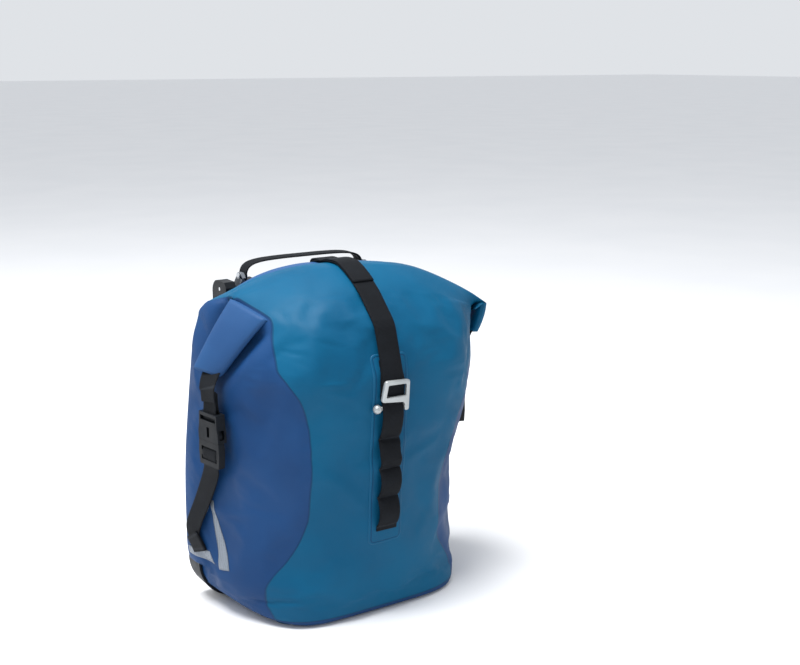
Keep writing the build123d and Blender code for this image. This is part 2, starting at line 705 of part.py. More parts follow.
def front_strap_tail():
    """Doubled top layer of the closure strap, with its sewn hem."""
    top = STRAP_TOP + WEB_THICK + GAP
    web = webbing(Plane.YZ, [(30, top), (-38.6, top), (-56, top - 12.4)], [12])
    with BuildPart() as tail:
        add(web)
    save(tail, "front_strap_tail")


def front_strap_end():
    """Lower end of the closure strap, looped round the hook's top bar."""
    bar = front_plane(ARM_Z, LOOPS_OUT).from_local_coords((0, HOOK_BAR_UP, 12.8))
    reach = 3.6
    points = [
        (-95.4, STRAP_SPLIT_Z - 1.4), (bar.Y - reach, bar.Z + 5), (bar.Y - reach, bar.Z - 3.6),
        (bar.Y + reach, bar.Z - 3.6), (bar.Y + reach, bar.Z + 5), (-98.2, STRAP_SPLIT_Z - 22),
    ]
    web = webbing(Plane.YZ, points, [8, 2.4, 2.4, 6])
    with BuildPart() as end:
        add(web)
    save(end, "front_strap_end")


# ---- side buckles, straps and reflectors --------------------------------------------
def buckle_socket(side):
    """Female half of the side-release buckle, open at its foot and at both sides."""
    plane = side_plane(side, BUCKLE_Z, BUCKLE_OUT)
    outline = [
        (-15, 29), (15, 29), (15.5, 16), (17.2, 8), (17.2, -1),
        (-17.2, -1), (-17.2, 8), (-15.5, 16),
    ]
    body = slab(plane, outline, 0, BUCKLE_THICK)
    throat = block(plane, (-12.6, 12.6), (-2, 17.5), (2.6, 8.4))
    windows = block(plane, (-20, 20), (2.4, 12.6), (2.6, 8.4))
    web_slot = block(plane, (-13.2, 13.2), (20.6, 25.4), (-1, 12))
    groove = block(plane, (-2.2, 2.2), (3, 14), (8, 12))
    with BuildPart() as socket:
        add(body)
        add([throat, windows, web_slot, groove], mode=Mode.SUBTRACT)
    save(socket, side_name(side, "buckle_socket"))


def buckle_plug(side):
    """Male half of the buckle: guide tongue and two strap slots."""
    plane = side_plane(side, BUCKLE_Z, BUCKLE_OUT)
    outline = [(-17.2, -1.4), (17.2, -1.4), (18, -14), (16.4, -28), (-16.4, -28), (-18, -14)]
    body = slab(plane, outline, 3.0, 10.6)
    upper_slot = block(plane, (-13.2, 13.2), (-12.8, -8.2), (-1, 12))
    lower_slot = block(plane, (-13.2, 13.2), (-22.6, -18.0), (-1, 12))
    tongue = block(plane, (-2.6, 2.6), (-2, 14.5), (3.2, 7.8))
    with BuildPart() as plug:
        add([body, tongue])
        add([upper_slot, lower_slot], mode=Mode.SUBTRACT)
    save(plug, side_name(side, "buckle_plug"))


def buckle_prong(side, towards, name):
    """One springy prong of the plug; towards is its way along the buckle's width."""
    outline = [
        (7.4, -1.1), (10.4, -1.1), (10.9, 2.8), (14.6, 2.8), (14.8, 7.0),
        (11.8, 12.2), (9.6, 15.0), (7.6, 15.0), (8.2, 11.0),
    ]
    plane = side_plane(side, BUCKLE_Z, BUCKLE_OUT)
    body = slab(plane, [(towards * x, y) for x, y in outline], 3.4, 7.6)
    with BuildPart() as prong:
        add(body)
    save(prong, side_name(side, f"{name}_prong"))


def buckle_tab(side):
    """Webbing sewn into the roll's end, looped through the buckle's socket."""
    plane = side_plane(side, BUCKLE_Z, BUCKLE_OUT)
    top = ROLL_END_Z - BUCKLE_Z - 1.5
    points = [(top, 9.2), (40, 12.6), (23.0, 12.6), (23.0, -1.1), (34, -1.1), (top, 6.8)]
    web = webbing(edge_plane(plane), points, [20, 2.0, 2.0, 20], 1.6)
    with BuildPart() as tab:
        add(web)
    save(tab, side_name(side, "buckle_tab"))


def side_strap(side):
    """Lower webbing: threaded through the plug's two slots, then down and back to its sewn foot."""
    plane = side_plane(side, BUCKLE_Z, BUCKLE_OUT)
    foot = ANCHOR_Z + 10 - BUCKLE_Z
    back = side * (ANCHOR_Y - BUCKLE_Y)  # local x of the foot
    points = [(-31, 1.2), (-20.3, 1.2), (-20.3, 12.2), (-10.5, 12.2), (-10.5, 1.4)]
    threaded = webbing(edge_plane(plane), points, [1.6, 1.6, 1.6], 1.6)
    outline = [(-WEB / 2, -30), (WEB / 2, -30), (back + WEB / 2, foot), (back - WEB / 2, foot)]
    run = slab(plane, outline, 0.4, 2.0)
    with BuildPart() as strap:
        add([threaded, run])
    save(strap, side_name(side, "side_strap"))


def strap_anchor(side):
    """Folded webbing tab that sews the side strap to the bag."""
    tab = block(side_plane(side, ANCHOR_Z, y=ANCHOR_Y), (-13.5, 13.5), (-12, 8.6), (0.8, 3.8))
    with BuildPart() as anchor:
        add(tab)
    save(anchor, side_name(side, "strap_anchor"))


def reflector(side):
    """Two reflective film stripes welded to the side wall: a tapered one and a level one behind it."""
    plane = side_plane(side, REFLECTOR_Z, REFLECTOR_OUT, REFLECTOR_Y)
    tapered = [(24, 129), (20, 130), (-10, 66), (9, 60)]  # y and z of the corners
    level = [(67, 60.5), (67, 53), (24, 53), (29, 60.5)]
    with BuildPart() as film:
        for corners in (tapered, level):
            outline = [(side * (y - REFLECTOR_Y), z - REFLECTOR_Z) for y, z in corners]
            add(slab(plane, outline, 0, 0.4))
    save(film, side_name(side, "reflector"))


# ---- the whole bag ------------------------------------------------------------------
def main():
    bag_shell()
    base_panel()
    roll_closure()
    closure_strip()
    back_stiffener()
    rail("upper_rail", UPPER_RAIL_HALF, UPPER_RAIL_Z, UPPER_SCREWS)
    rail("lower_rail", LOWER_RAIL_HALF, LOWER_RAIL_Z, LOWER_SCREWS)
    rail_screws("upper_rail_screws", UPPER_SCREWS)
    rail_screws("lower_rail_screws", LOWER_SCREWS)
    rail_nuts("upper_rail_nuts", UPPER_SCREWS)
    rail_nuts("lower_rail_nuts", LOWER_SCREWS)
    latch_pins()
    clamp_screws()
    latch_springs()
    carry_handle()
    handle_rivets()
    lower_slider()
    lower_hook()
    lower_hook_screw()
    front_patch()
    daisy_chain()
    g_hook()
    front_strap()
    front_strap_tail()
    front_strap_end()
    for side in (-1, 1):
        edge_guard(side)
        rack_hook(side)
        rack_latch(side)
        buckle_socket(side)
        buckle_plug(side)
        buckle_prong(side, side, "rear")
        buckle_prong(side, -side, "front")
        buckle_tab(side)
        side_strap(side)
        strap_anchor(side)
        reflector(side)


main()
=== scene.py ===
import json
from math import cos, pi, radians, sin

import bpy
import numpy as np
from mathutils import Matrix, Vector
from mathutils.bvhtree import BVHTree

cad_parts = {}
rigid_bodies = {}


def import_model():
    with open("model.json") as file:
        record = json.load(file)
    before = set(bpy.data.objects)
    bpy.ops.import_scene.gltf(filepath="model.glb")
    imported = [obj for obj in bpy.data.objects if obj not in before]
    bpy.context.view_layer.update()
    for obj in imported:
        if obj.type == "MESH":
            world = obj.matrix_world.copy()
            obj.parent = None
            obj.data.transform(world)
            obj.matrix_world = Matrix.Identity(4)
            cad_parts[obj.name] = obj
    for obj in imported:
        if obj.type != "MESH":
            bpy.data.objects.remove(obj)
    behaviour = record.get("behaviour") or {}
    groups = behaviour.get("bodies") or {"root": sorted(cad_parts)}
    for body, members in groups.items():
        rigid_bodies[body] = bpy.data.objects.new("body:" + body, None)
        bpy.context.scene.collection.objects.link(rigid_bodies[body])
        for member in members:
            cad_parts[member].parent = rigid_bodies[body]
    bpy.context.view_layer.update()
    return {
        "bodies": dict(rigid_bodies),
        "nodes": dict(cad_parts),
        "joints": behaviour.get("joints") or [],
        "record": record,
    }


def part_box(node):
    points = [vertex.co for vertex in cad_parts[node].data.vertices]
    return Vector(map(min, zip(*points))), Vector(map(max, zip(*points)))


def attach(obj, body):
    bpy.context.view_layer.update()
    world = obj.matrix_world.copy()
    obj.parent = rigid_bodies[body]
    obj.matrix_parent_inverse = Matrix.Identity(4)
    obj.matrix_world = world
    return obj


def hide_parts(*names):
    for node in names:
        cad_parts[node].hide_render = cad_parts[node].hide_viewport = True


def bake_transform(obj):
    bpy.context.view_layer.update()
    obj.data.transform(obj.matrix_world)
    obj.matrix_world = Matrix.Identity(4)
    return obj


# Roll-top bicycle pannier. Shapes are worked out in millimetres and made in metres.

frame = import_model()
nodes = frame["nodes"]
scene = bpy.context.scene
MM = 0.001


def box(node):
    """Lowest and highest corner of a CAD node, in millimetres."""
    low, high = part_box(node)
    return np.array(low) / MM, np.array(high) / MM


# ---- materials ------------------------------------------------------------------------
def srgb(*values):
    """Linear colour from sRGB values of 0 to 255."""
    shares = [v / 255 for v in values]
    return [s / 12.92 if s < 0.04045 else ((s + 0.055) / 1.055) ** 2.4 for s in shares] + [1.0]


class Paint:
    """A node material under construction."""

    def __init__(self, name):
        self.material = bpy.data.materials.new(name)
        self.material.use_nodes = True
        self.tree = self.material.node_tree
        self.shader = self.tree.nodes["Principled BSDF"]

    def node(self, kind, values=(), **settings):
        made = self.tree.nodes.new(kind)
        for key, value in settings.items():
            setattr(made, key, value)
        for key, value in dict(values).items():
            if isinstance(value, bpy.types.NodeSocket):
                self.tree.links.new(value, made.inputs[key])
            else:
                made.inputs[key].default_value = value
        return made

    def math(self, operation, a, b=0.0, clamp=False):
        return self.node("ShaderNodeMath", {0: a, 1: b}, operation=operation, use_clamp=clamp).outputs[0]

    def mix(self, share, a, b, blend="MIX"):
        made = self.node("ShaderNodeMix", {0: share, 6: a, 7: b}, data_type="RGBA", blend_type=blend)
        return made.outputs[2]

    def ramp(self, value, low, high, to_low=0.0, to_high=1.0):
        values = {0: value, 1: low, 2: high, 3: to_low, 4: to_high}
        return self.node("ShaderNodeMapRange", values, interpolation_type="SMOOTHSTEP").outputs[0]

    def value(self, name):
        return self.node("ShaderNodeAttribute", attribute_name=name).outputs["Fac"]

    def noise(self, scale, detail=3.0, rough=0.5):
        place = self.node("ShaderNodeTexCoord").outputs["Object"]
        values = {"Vector": place, "Scale": scale, "Detail": detail, "Roughness": rough}
        return self.node("ShaderNodeTexNoise", values).outputs["Fac"]

    def weave(self, across, along):
        """Plain weave from the UV map, which is in metres; thread spacings in millimetres."""
        uv = self.node("ShaderNodeSeparateXYZ", {0: self.node("ShaderNodeUVMap").outputs[0]})
        u = self.math("SINE", self.math("MULTIPLY", uv.outputs[0], pi / (across * MM)))
        v = self.math("SINE", self.math("MULTIPLY", uv.outputs[1], pi / (along * MM)))
        return self.math("MULTIPLY", u, v)

    def set(self, **values):
        for key, value in values.items():
            socket = self.shader.inputs[key.replace("_", " ")]
            if isinstance(value, bpy.types.NodeSocket):
                self.tree.links.new(value, socket)
            else:
                socket.default_value = value

    def bump(self, height, strength=1.0):
        """Height is in millimetres."""
        made = self.node("ShaderNodeBump", {"Height": height, "Distance": MM, "Strength": strength})
        self.tree.links.new(made.outputs[0], self.shader.inputs["Normal"])

    def total(self, *parts):
        """Sum of (value, factor) pairs."""
        added = None
        for value, factor in parts:
            part = self.math("MULTIPLY", value, factor)
            added = part if added is None else self.math("ADD", added, part)
        return added


TEAL, TEAL_DEEP = srgb(2, 84, 119), srgb(0, 75, 109)
INDIGO, INDIGO_DEEP = srgb(24, 64, 110), srgb(19, 55, 98)


def coated_fabric(name, indigo_light=INDIGO, indigo_deep=INDIGO_DEEP):
    """Satin coated polyester in two welded colours: teal where the panel attribute is below zero."""
    paint = Paint(name)
    panel = paint.value("panel")
    weld = paint.value("weld")
    indigo = paint.ramp(panel, -0.15, 0.15)
    cloud, fine = paint.noise(9, 4), paint.noise(140, 2)
    teal = paint.mix(paint.ramp(cloud, 0.35, 0.65), TEAL_DEEP, TEAL)
    blue = paint.mix(paint.ramp(cloud, 0.35, 0.65), indigo_deep, indigo_light)
    colour = paint.mix(indigo, teal, blue)
    line = paint.math("ABSOLUTE", panel)
    seam = paint.ramp(line, 0.35, 0.9, 1.0, 0.0)
    welded = paint.ramp(paint.math("ABSOLUTE", weld), 0.25, 0.7, 1.0, 0.0)
    colour = paint.mix(paint.math("MULTIPLY", seam, 0.45), colour, srgb(14, 36, 66))
    colour = paint.mix(paint.math("MULTIPLY", welded, 0.62), colour, srgb(8, 46, 82))
    # Paler on convex ridges and edges, found from pointiness: a painted highlight.
    edges = paint.node("ShaderNodeNewGeometry").outputs["Pointiness"]
    ridge_highlight = paint.math("MULTIPLY", paint.ramp(edges, 0.52, 0.62), 0.18)
    colour = paint.mix(ridge_highlight, colour, srgb(140, 178, 206))
    threads = paint.weave(0.55, 0.55)
    colour = paint.mix(paint.ramp(threads, -1, 1, 0.0, 0.10), colour, srgb(10, 30, 60))
    step = paint.ramp(panel, -0.5, 0.1, 0.0, 1.0)
    height = paint.total((threads, 0.035), (fine, 0.12), (step, 0.35), (seam, -0.25), (welded, -0.3))
    paint.bump(height, 0.9)
    paint.set(Base_Color=colour, Roughness=paint.ramp(paint.noise(35, 3), 0.3, 0.7, 0.46, 0.58))
    paint.set(Specular_IOR_Level=0.13)
    return paint.material


def ribbed_webbing():
    """Black woven webbing: cross ribs and a herringbone ground."""
    paint = Paint("webbing")
    uv = paint.node("ShaderNodeSeparateXYZ", {0: paint.node("ShaderNodeUVMap").outputs[0]})
    ribs = paint.math("SINE", paint.math("MULTIPLY", uv.outputs[1], 2 * pi / (1.3 * MM)))
    warp = paint.math("SINE", paint.math("MULTIPLY", uv.outputs[0], 2 * pi / (0.9 * MM)))
    ground = paint.math("MULTIPLY", ribs, warp)
    stitch = paint.value("stitch")
    tone = paint.mix(paint.ramp(ground, -1, 1), srgb(3, 5, 9), srgb(13, 17, 23))
    tone = paint.mix(paint.ramp(paint.noise(60, 3), 0.4, 0.75, 0.0, 0.15), tone, srgb(26, 32, 40))
    slant = paint.math("ADD", *uv.outputs[:2])
    thread = paint.math("SINE", paint.math("MULTIPLY", slant, 2 * pi / (1.6 * MM)))
    sewn = paint.math("MULTIPLY", stitch, paint.ramp(thread, -0.5, 0.2))
    tone = paint.mix(sewn, tone, srgb(40, 44, 50))
    paint.bump(paint.total((ribs, 0.10), (ground, 0.05), (sewn, 0.25), (stitch, -0.3)))
    paint.set(Base_Color=tone, Roughness=0.75, Specular_IOR_Level=0.16)
    return paint.material


def moulded(name, dark, light, roughness, grain=0.04, metallic=0.0, specular=0.5, scale=900):
    """Moulded or cast surface: fine grain, faint tone changes and painted highlights on its edges."""
    paint = Paint(name)
    tone = paint.mix(paint.ramp(paint.noise(22, 4), 0.35, 0.65), dark, light)
    # Paler on sharp edges, found from pointiness: a painted highlight.
    edges = paint.node("ShaderNodeNewGeometry").outputs["Pointiness"]
    edge_highlight_tone = [min(1, c * 2.2 + 0.003) for c in light[:3]] + [1.0]
    tone = paint.mix(paint.ramp(edges, 0.52, 0.60, 0.0, 0.45), tone, edge_highlight_tone)
    paint.bump(paint.total((paint.noise(scale, 2), grain), (paint.noise(70, 2), grain * 2)))
    rough = paint.ramp(paint.noise(45, 3), 0.3, 0.7, roughness - 0.06, roughness + 0.08)
    paint.set(Base_Color=tone, Roughness=rough, Metallic=metallic, Specular_IOR_Level=specular)
    return paint.material


def reflective_film():
    """Grey retroreflective film with its fine hexagon grid."""
    paint = Paint("reflective_film")
    cells = paint.node(
        "ShaderNodeTexVoronoi",
        {"Vector": paint.node("ShaderNodeTexCoord").outputs["Object"], "Scale": 900.0, "Randomness": 0.25},
        feature="DISTANCE_TO_EDGE",
    ).outputs["Distance"]
    grid = paint.ramp(cells, 0.02, 0.12)
    tone = paint.mix(grid, srgb(84, 92, 102), srgb(122, 130, 140))
    paint.bump(paint.math("MULTIPLY", grid, 0.05))
    paint.set(Base_Color=tone, Roughness=0.34, Metallic=0.25)
    return paint.material


def floor_paint():
    paint = Paint("studio_floor")
    tone = paint.mix(paint.noise(3, 2), srgb(232, 233, 235), srgb(240, 240, 241))
    paint.set(Base_Color=tone, Roughness=0.85)
    return paint.material


FABRIC = coated_fabric("bag_fabric")
# A lighter copy of the bag fabric for the roll and its folded ends: its paler indigo is painted light.
LIT_ROLL_FABRIC = coated_fabric("roll_fabric", srgb(44, 83, 128), srgb(35, 70, 114))
PATCH_FABRIC = coated_fabric("patch_fabric")
WEBBING = ribbed_webbing()
BLACK = moulded("black_plastic", srgb(6, 8, 11), srgb(12, 15, 19), 0.46, specular=0.14)
GREY = moulded("grey_plastic", srgb(62, 66, 71), srgb(78, 82, 87), 0.46)
INNER = moulded("inner_plastic", srgb(150, 152, 154), srgb(172, 174, 176), 0.5)
STEEL = moulded("steel", srgb(150, 152, 156), srgb(176, 178, 182), 0.3, 0.015, 1.0)
CAST = moulded("cast_aluminium", srgb(158, 162, 163), srgb(182, 186, 186), 0.36, 0.03, 0.6)
FILM = reflective_film()


# ---- mesh making ----------------------------------------------------------------------
def curve(place, points):
    """Smooth line through (place, value, ...) points that doesn't overshoot them."""
    points = np.array(points, float)
    x, y = points[:, 0], points[:, 1:]
    slope = np.diff(y, axis=0) / np.diff(x)[:, None]
    m = np.vstack([slope[:1], (slope[1:] + slope[:-1]) / 2, slope[-1:]])
    m[1:-1][slope[1:] * slope[:-1] <= 0] = 0
    t = np.clip(np.asarray(place, float), x[0], x[-1])
    i = np.clip(np.searchsorted(x, t) - 1, 0, len(x) - 2)
    h = (x[i + 1] - x[i])[..., None]
    s = (t - x[i])[..., None] / h
    ends = (1 + 2 * s) * (1 - s) ** 2 * y[i] + s * s * (3 - 2 * s) * y[i + 1]
    return ends + s * (1 - s) ** 2 * h * m[i] + s * s * (s - 1) * h * m[i + 1]


def spaced(points, count):
    """The same polyline in equal steps."""
    walked = np.r_[0, np.cumsum(np.linalg.norm(np.diff(points, axis=0), axis=1))]
    t = np.linspace(0, walked[-1], count)
    return np.stack([np.interp(t, walked, points[:, k]) for k in range(points.shape[1])], 1)


def rounded(points, count, passes=3):
    """Smooth path through a few points, in equal steps."""
    points = np.array(points, float)
    for _ in range(passes):
        a, b = points[:-1], points[1:]
        cut = np.stack([0.75 * a + 0.25 * b, 0.25 * a + 0.75 * b], 1).reshape(-1, points.shape[1])
        points = np.vstack([points[:1], cut, points[-1:]])
    return spaced(points, count)


def smoothstep(t):
    t = np.clip(t, 0, 1)
    return t * t * (3 - 2 * t)


def unit(v):
    v = np.asarray(v, float)
    return v / np.linalg.norm(v, axis=-1, keepdims=True)


def grid_piece(name, rows, material, closed=True, caps="face", flip=False, **values):
    """Object from a grid of points in millimetres, with UVs in metres along its rows and columns.
    Values are per-point attributes of the same shape."""
    rows = np.asarray(rows, float)
    count, around, _ = rows.shape
    index = np.arange(count * around).reshape(count, around)
    wide = np.concatenate([rows, rows[:, :1]], 1) if closed else rows
    wide_index = np.concatenate([index, index[:, :1]], 1) if closed else index
    zero = np.zeros((count, 1))
    u = np.hstack([zero, np.cumsum(np.linalg.norm(np.diff(wide, axis=1), axis=2), axis=1)]) * MM
    u = u - u[:, [u.shape[1] // 4]]
    lengths = np.linalg.norm(np.diff(wide, axis=0), axis=2)
    v = np.vstack([np.zeros(wide.shape[1]), np.cumsum(lengths, axis=0)]) * MM
    faces, uvs = [], []
    for j in range(count - 1):
        for i in range(wide.shape[1] - 1):
            corners = ((j, i), (j, i + 1), (j + 1, i + 1), (j + 1, i))
            corners = corners[::-1] if flip else corners
            faces.append([int(wide_index[c]) for c in corners])
            uvs.extend((u[c], v[c]) for c in corners)
    if closed and caps:
        for row, order in ((0, -1), (count - 1, 1)):
            order = -order if flip else order
            line = list(range(around))
            if caps == "strip":
                half = around // 2
                strips = [
                    (i, i + 1, (around - i - 1) % around, (around - i) % around) for i in range(half)
                ]
                strips = [tuple(dict.fromkeys(s)) for s in strips]
            else:
                strips = [tuple(line)]
            for strip in strips:
                strip = strip[::order]
                faces.append([int(index[row, i]) for i in strip])
                uvs.extend((rows[row, i, 0] * MM, rows[row, i, 1] * MM) for i in strip)
    mesh = bpy.data.meshes.new(name)
    mesh.from_pydata((rows.reshape(-1, 3) * MM).tolist(), [], faces)
    layer = mesh.uv_layers.new(name="UVMap")
    layer.data.foreach_set("uv", np.array(uvs, np.float32).ravel())
    for key, value in values.items():
        made = mesh.attributes.new(key, "FLOAT", "POINT")
        made.data.foreach_set("value", np.asarray(value, np.float32).ravel())
    mesh.polygons.foreach_set("use_smooth", [True] * len(faces))
    mesh.materials.append(material)
    piece = bpy.data.objects.new(name, mesh)
    scene.collection.objects.link(piece)
    return piece


def modifier(piece, kind, **settings):
    made = piece.modifiers.new(kind.title(), kind)
    for key, value in settings.items():
        setattr(made, key, value)
    return made


def finished(piece):
    """Applies a piece's modifiers to its mesh."""
    bpy.context.view_layer.update()
    mesh = bpy.data.meshes.new_from_object(piece.evaluated_get(bpy.context.evaluated_depsgraph_get()))
    piece.modifiers.clear()
    piece.data = mesh
    return piece


def ribbon(name, path, across, width, thick=1.6, stitches=()):
    """Webbing with rounded edges. Path is its middle line; across is its width's direction, one for all
    points or one for each. Stitches are (distance along the path, half length) pairs in millimetres."""
    path = np.array(path, float)
    across = unit(np.broadcast_to(np.array(across, float), path.shape))
    along = unit(np.gradient(path, axis=0))
    across = unit(across - (across * along).sum(1, keepdims=True) * along)
    normal = np.cross(along, across)
    half, edge = np.broadcast_to(width, len(path)) / 2, thick / 2
    a = np.linspace(-pi / 2, pi / 2, 5)
    section = [(1, edge * cos(t), edge * sin(t)) for t in a]
    steps = np.linspace(1, -1, 9)[1:-1]
    section += [(s, 0, edge) for s in steps]
    section += [(-1, -edge * cos(t), edge * sin(t)) for t in a[::-1]]
    section += [(s, 0, -edge) for s in -steps]
    rows = np.stack(
        [path + across * (s * (half - edge)[:, None] + d) + normal * n for s, d, n in section], 1
    )
    walked = np.r_[0, np.cumsum(np.linalg.norm(np.diff(path, axis=0), axis=1))]
    sewn = np.zeros((len(path), len(section)))
    for place, wide in stitches:
        sewn += smoothstep(1.5 - np.abs(walked - place) / wide)[:, None]
    return grid_piece(name, rows, WEBBING, stitch=np.clip(sewn, 0, 1))


# ---- the body -------------------------------------------------------------------------
# Per height: left and right half width, middle of the front, the outline's roundness on the
# left, on the right and towards the front.
OUTLINES = [
    (3, 109, 124, -64.0, 5.0, 5.0, 5.0),
    (8, 124, 134, -67.5, 4.2, 4.2, 3.6),
    (20, 141, 146, -70.5, 3.3, 3.3, 2.4),
    (48, 157.5, 155, -72.0, 2.7, 2.7, 1.8),
    (90, 160.5, 154, -75.5, 2.5, 2.5, 1.65),
    (130, 160, 153, -79.0, 2.5, 2.5, 1.65),
    (171, 158, 152, -83.0, 2.7, 3.0, 1.75),
    (227, 152.5, 152, -88.0, 3.0, 4.4, 1.85),
    (270, 147.5, 152, -91.0, 3.2, 5.0, 1.9),
    (300, 143.5, 152, -92.0, 3.2, 5.0, 1.9),
    (322, 136, 150, -92.0, 3.2, 5.0, 1.9),
]
WIDEST_Y, BACK_Y = 74.0, 82.9
BASE_Z, SHOULDER_Z, BACK_TOP_Z = 3.0, 270.0, 322.0
CORNER = 45.0  # lower back corners, seen from the front
# front ridge and rear edge of the rolled top: x, y, z
RIDGE = [
    (-124, 25, 346), (-78, 8, 363), (-38, -2, 372), (0, -7, 375), (45, -10, 372),
    (80, -14, 365.5), (113, -20, 352), (145, -28, 334), (164, -33, 320.5),
]
REAR = [
    (-130, 47, 340), (-78, 38, 364), (-38, 30, 372.5), (-4, 25, 373.5), (45, 20, 370.5),
    (80, 14, 365), (113, 4, 351.5), (145, -6, 334), (169, -10, 317),
]
HALF = 100  # columns between the two ends of the bag
WALL_ROWS, ROOF_ROWS = ((84, 50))
LEFT_SEAM = [  # how far the teal panel reaches to the left, by height
    (3, 108), (29, 117), (44, 117), (59, 111), (75, 100), (101, 87), (132, 80), (167, 80),
    (205, 81), (230, 84), (253, 91), (272, 102), (286, 108), (306, 107.5), (332, 102), (350, 104),
]
RIGHT_SEAM = [
    (3, 112), (29, 108), (48, 97), (70, 88), (101, 83), (132, 81), (160, 84), (194, 93),
    (230, 108), (253, 124), (272, 138), (290, 147), (306, 170), (350, 190),
]


def outline(z):
    """Front and back outline of the bag at one height, each from the right end to the left."""
    left, right, front, p_left, p_right, q = curve(z, OUTLINES)
    a = np.linspace(0, pi, 2001)
    c, s = np.cos(a), np.sin(a)
    wide = np.where(c > 0, right, left)
    x = wide * np.sign(c) * np.abs(c) ** (2 / np.where(c > 0, p_right, p_left))
    y = WIDEST_Y - (WIDEST_Y - front) * s ** (2 / q)
    if z < BASE_Z + CORNER:
        deep = CORNER ** 2 - (BASE_Z + CORNER - z) ** 2
        limit = 110 - BASE_Z + np.sqrt(max(deep, 0)) - 0.8
        share = smoothstep(y / 50)
        x = x * (1 - share) + np.clip(x, -limit, limit) * share
    back_x = max(abs(x[0]), 1) * np.where(c > 0, 1, -x[-1] / x[0]) * np.sign(c) * np.abs(c) ** (1 / 7)
    back_y = WIDEST_Y + (BACK_Y - WIDEST_Y) * s ** 0.9
    front_line = spaced(np.stack([x, y], 1), HALF + 1)
    back_line = spaced(np.stack([back_x, back_y], 1), HALF + 1)
    return np.vstack([front_line, back_line[-2:0:-1]])


def edge_line(edge, share):
    """Points of the ridge or the rear edge, by share of its length in x."""
    x = edge[0][0] + share * (edge[-1][0] - edge[0][0])
    return np.c_[x, curve(x, edge)]


def body_points():
    """Grid of the bag's surface: rows go up, columns go round from the right end over the front."""
    levels = BASE_Z + (BACK_TOP_Z - BASE_Z) * np.linspace(0, 1, 160) ** 1.3
    table = np.array([outline(z) for z in levels])
    columns = np.arange(2 * HALF)
    behind = columns > HALF
    ends = (columns == 0) | (columns == HALF)
    depth = table[-1, :, 1]
    top = SHOULDER_Z + (BACK_TOP_Z - SHOULDER_Z) * smoothstep((depth - 15) / 55)
    rows = []
    for share in np.linspace(0, 1, WALL_ROWS) ** 1.25:
        z = BASE_Z + (top - BASE_Z) * share
        xy = [[np.interp(z[i], levels, table[:, i, k]) for k in (0, 1)] for i in columns]
        rows.append(np.c_[xy, z])
    start = rows[-1]
    along = (start[:, 0] - start[:, 0].min()) / np.ptp(start[:, 0])
    # A front column and the rear column that it closes on share one point of the middle line.
    shared = (along + along[-columns]) / 2
    middle = (edge_line(RIDGE, shared) + edge_line(REAR, shared)) / 2
    end = np.where(behind[:, None], edge_line(REAR, along), edge_line(RIDGE, along))
    end[ends] = middle[ends]
    turn = np.radians(np.where(behind, 50, 66))
    for share in np.linspace(0, 1, ROOF_ROWS + 1)[1:]:
        angle = turn * share
        inward = (1 - np.cos(angle)) / (1 - np.cos(turn))
        up = np.sin(angle) / np.sin(turn)
        point = start.copy()
        point[:, :2] += (end[:, :2] - start[:, :2]) * inward[:, None]
        point[:, 2] += (end[:, 2] - start[:, 2]) * up
        rows.append(point)
    for share in (0.3, 0.6, 0.85):
        point = end + (middle - end) * share
        point[:, 2] += 1.6 * (1 - (1 - share) ** 2)
        rows.append(point)
    return np.array(rows)


# Each folded end of the roll: front and rear corner of its crease, then of its foot.
LEFT_END = [(-110, -27, 332.5), (-124, 27, 347)], [(-144, 10, 269.5), (-161, 43, 274.5)]
RIGHT_END = [(167, -34, 319.5), (176, -5, 316.5)], [(166, -20, 284), (165, 16, 277)]
END_THICK = 11.0
EAR_ROWS, EAR_AROUND = 30, 64


def room_for(points, end, gap=3.0):
    """Pushes the body in under a folded end of the roll."""
    crease, foot = (np.array(pair, float) for pair in end)
    top, low = crease.mean(0), foot.mean(0)
    down = unit(low - top)
    wide = unit((crease[1] - crease[0]) + (foot[1] - foot[0]))
    out = unit(np.cross(down, wide))
    out = out * np.sign(out[0] * top[0])
    t = (points - top) @ down / np.linalg.norm(low - top)
    top_wide, foot_wide = np.linalg.norm(crease[1] - crease[0]), np.linalg.norm(foot[1] - foot[0])
    half = (top_wide * (1 - t) + foot_wide * t) / 2
    centre = top + t[..., None] * (low - top)
    s = ((points - centre) @ wide) / np.maximum(half, 5)
    high = (points - centre) @ out
    share = smoothstep((1.32 - np.abs(s)) / 0.3)
    share = share * smoothstep((t - 0.02) / 0.14) * smoothstep((1.5 - t) / 0.45) * (points[..., 0] * top[0] > 0)
    push = np.clip(high + END_THICK + gap, 0, 40) * share
    return points - out * push[..., None]


def eased(points, share, passes):
    """Evens out a part of the body's grid."""
    for _ in range(passes):
        near = (np.roll(points, 1, axis=1) + np.roll(points, -1, axis=1)) / 4
        near[1:-1] += (points[2:] + points[:-2]) / 4
        near[[0, -1]] = points[[0, -1]]
        points = points + (near - points) * share[..., None]
    return points


CREASES = [  # ends, reach and height: folds of the cloth, mostly from the rolled ends
    ((-128, 78, 322), (-118, 60, 300), 7, -4.5), ((-136, 66, 326), (-140, 62, 296), 6, 3.0),
    ((-152, 52, 282), (-157, 62, 240), 8, -2.6), ((-150, 24, 262), (-152, 30, 226), 7, -2.4),
    ((-140, -22, 268), (-138, -40, 214), 9, -2.0), ((-118, -60, 292), (-122, -66, 240), 12, 1.6),
    ((140, -40, 270), (118, -66, 196), 10, -2.6), ((130, -56, 300), (104, -80, 240), 9, 1.8),
    ((120, -50, 150), (104, -52, 84), 12, -2.0), ((-40, -20, 366), (-70, -50, 340), 9, 0.9),
    ((36, -24, 366), (58, -60, 338), 9, 0.9), ((-30, -86, 300), (-52, -84, 262), 8, -0.8),
]


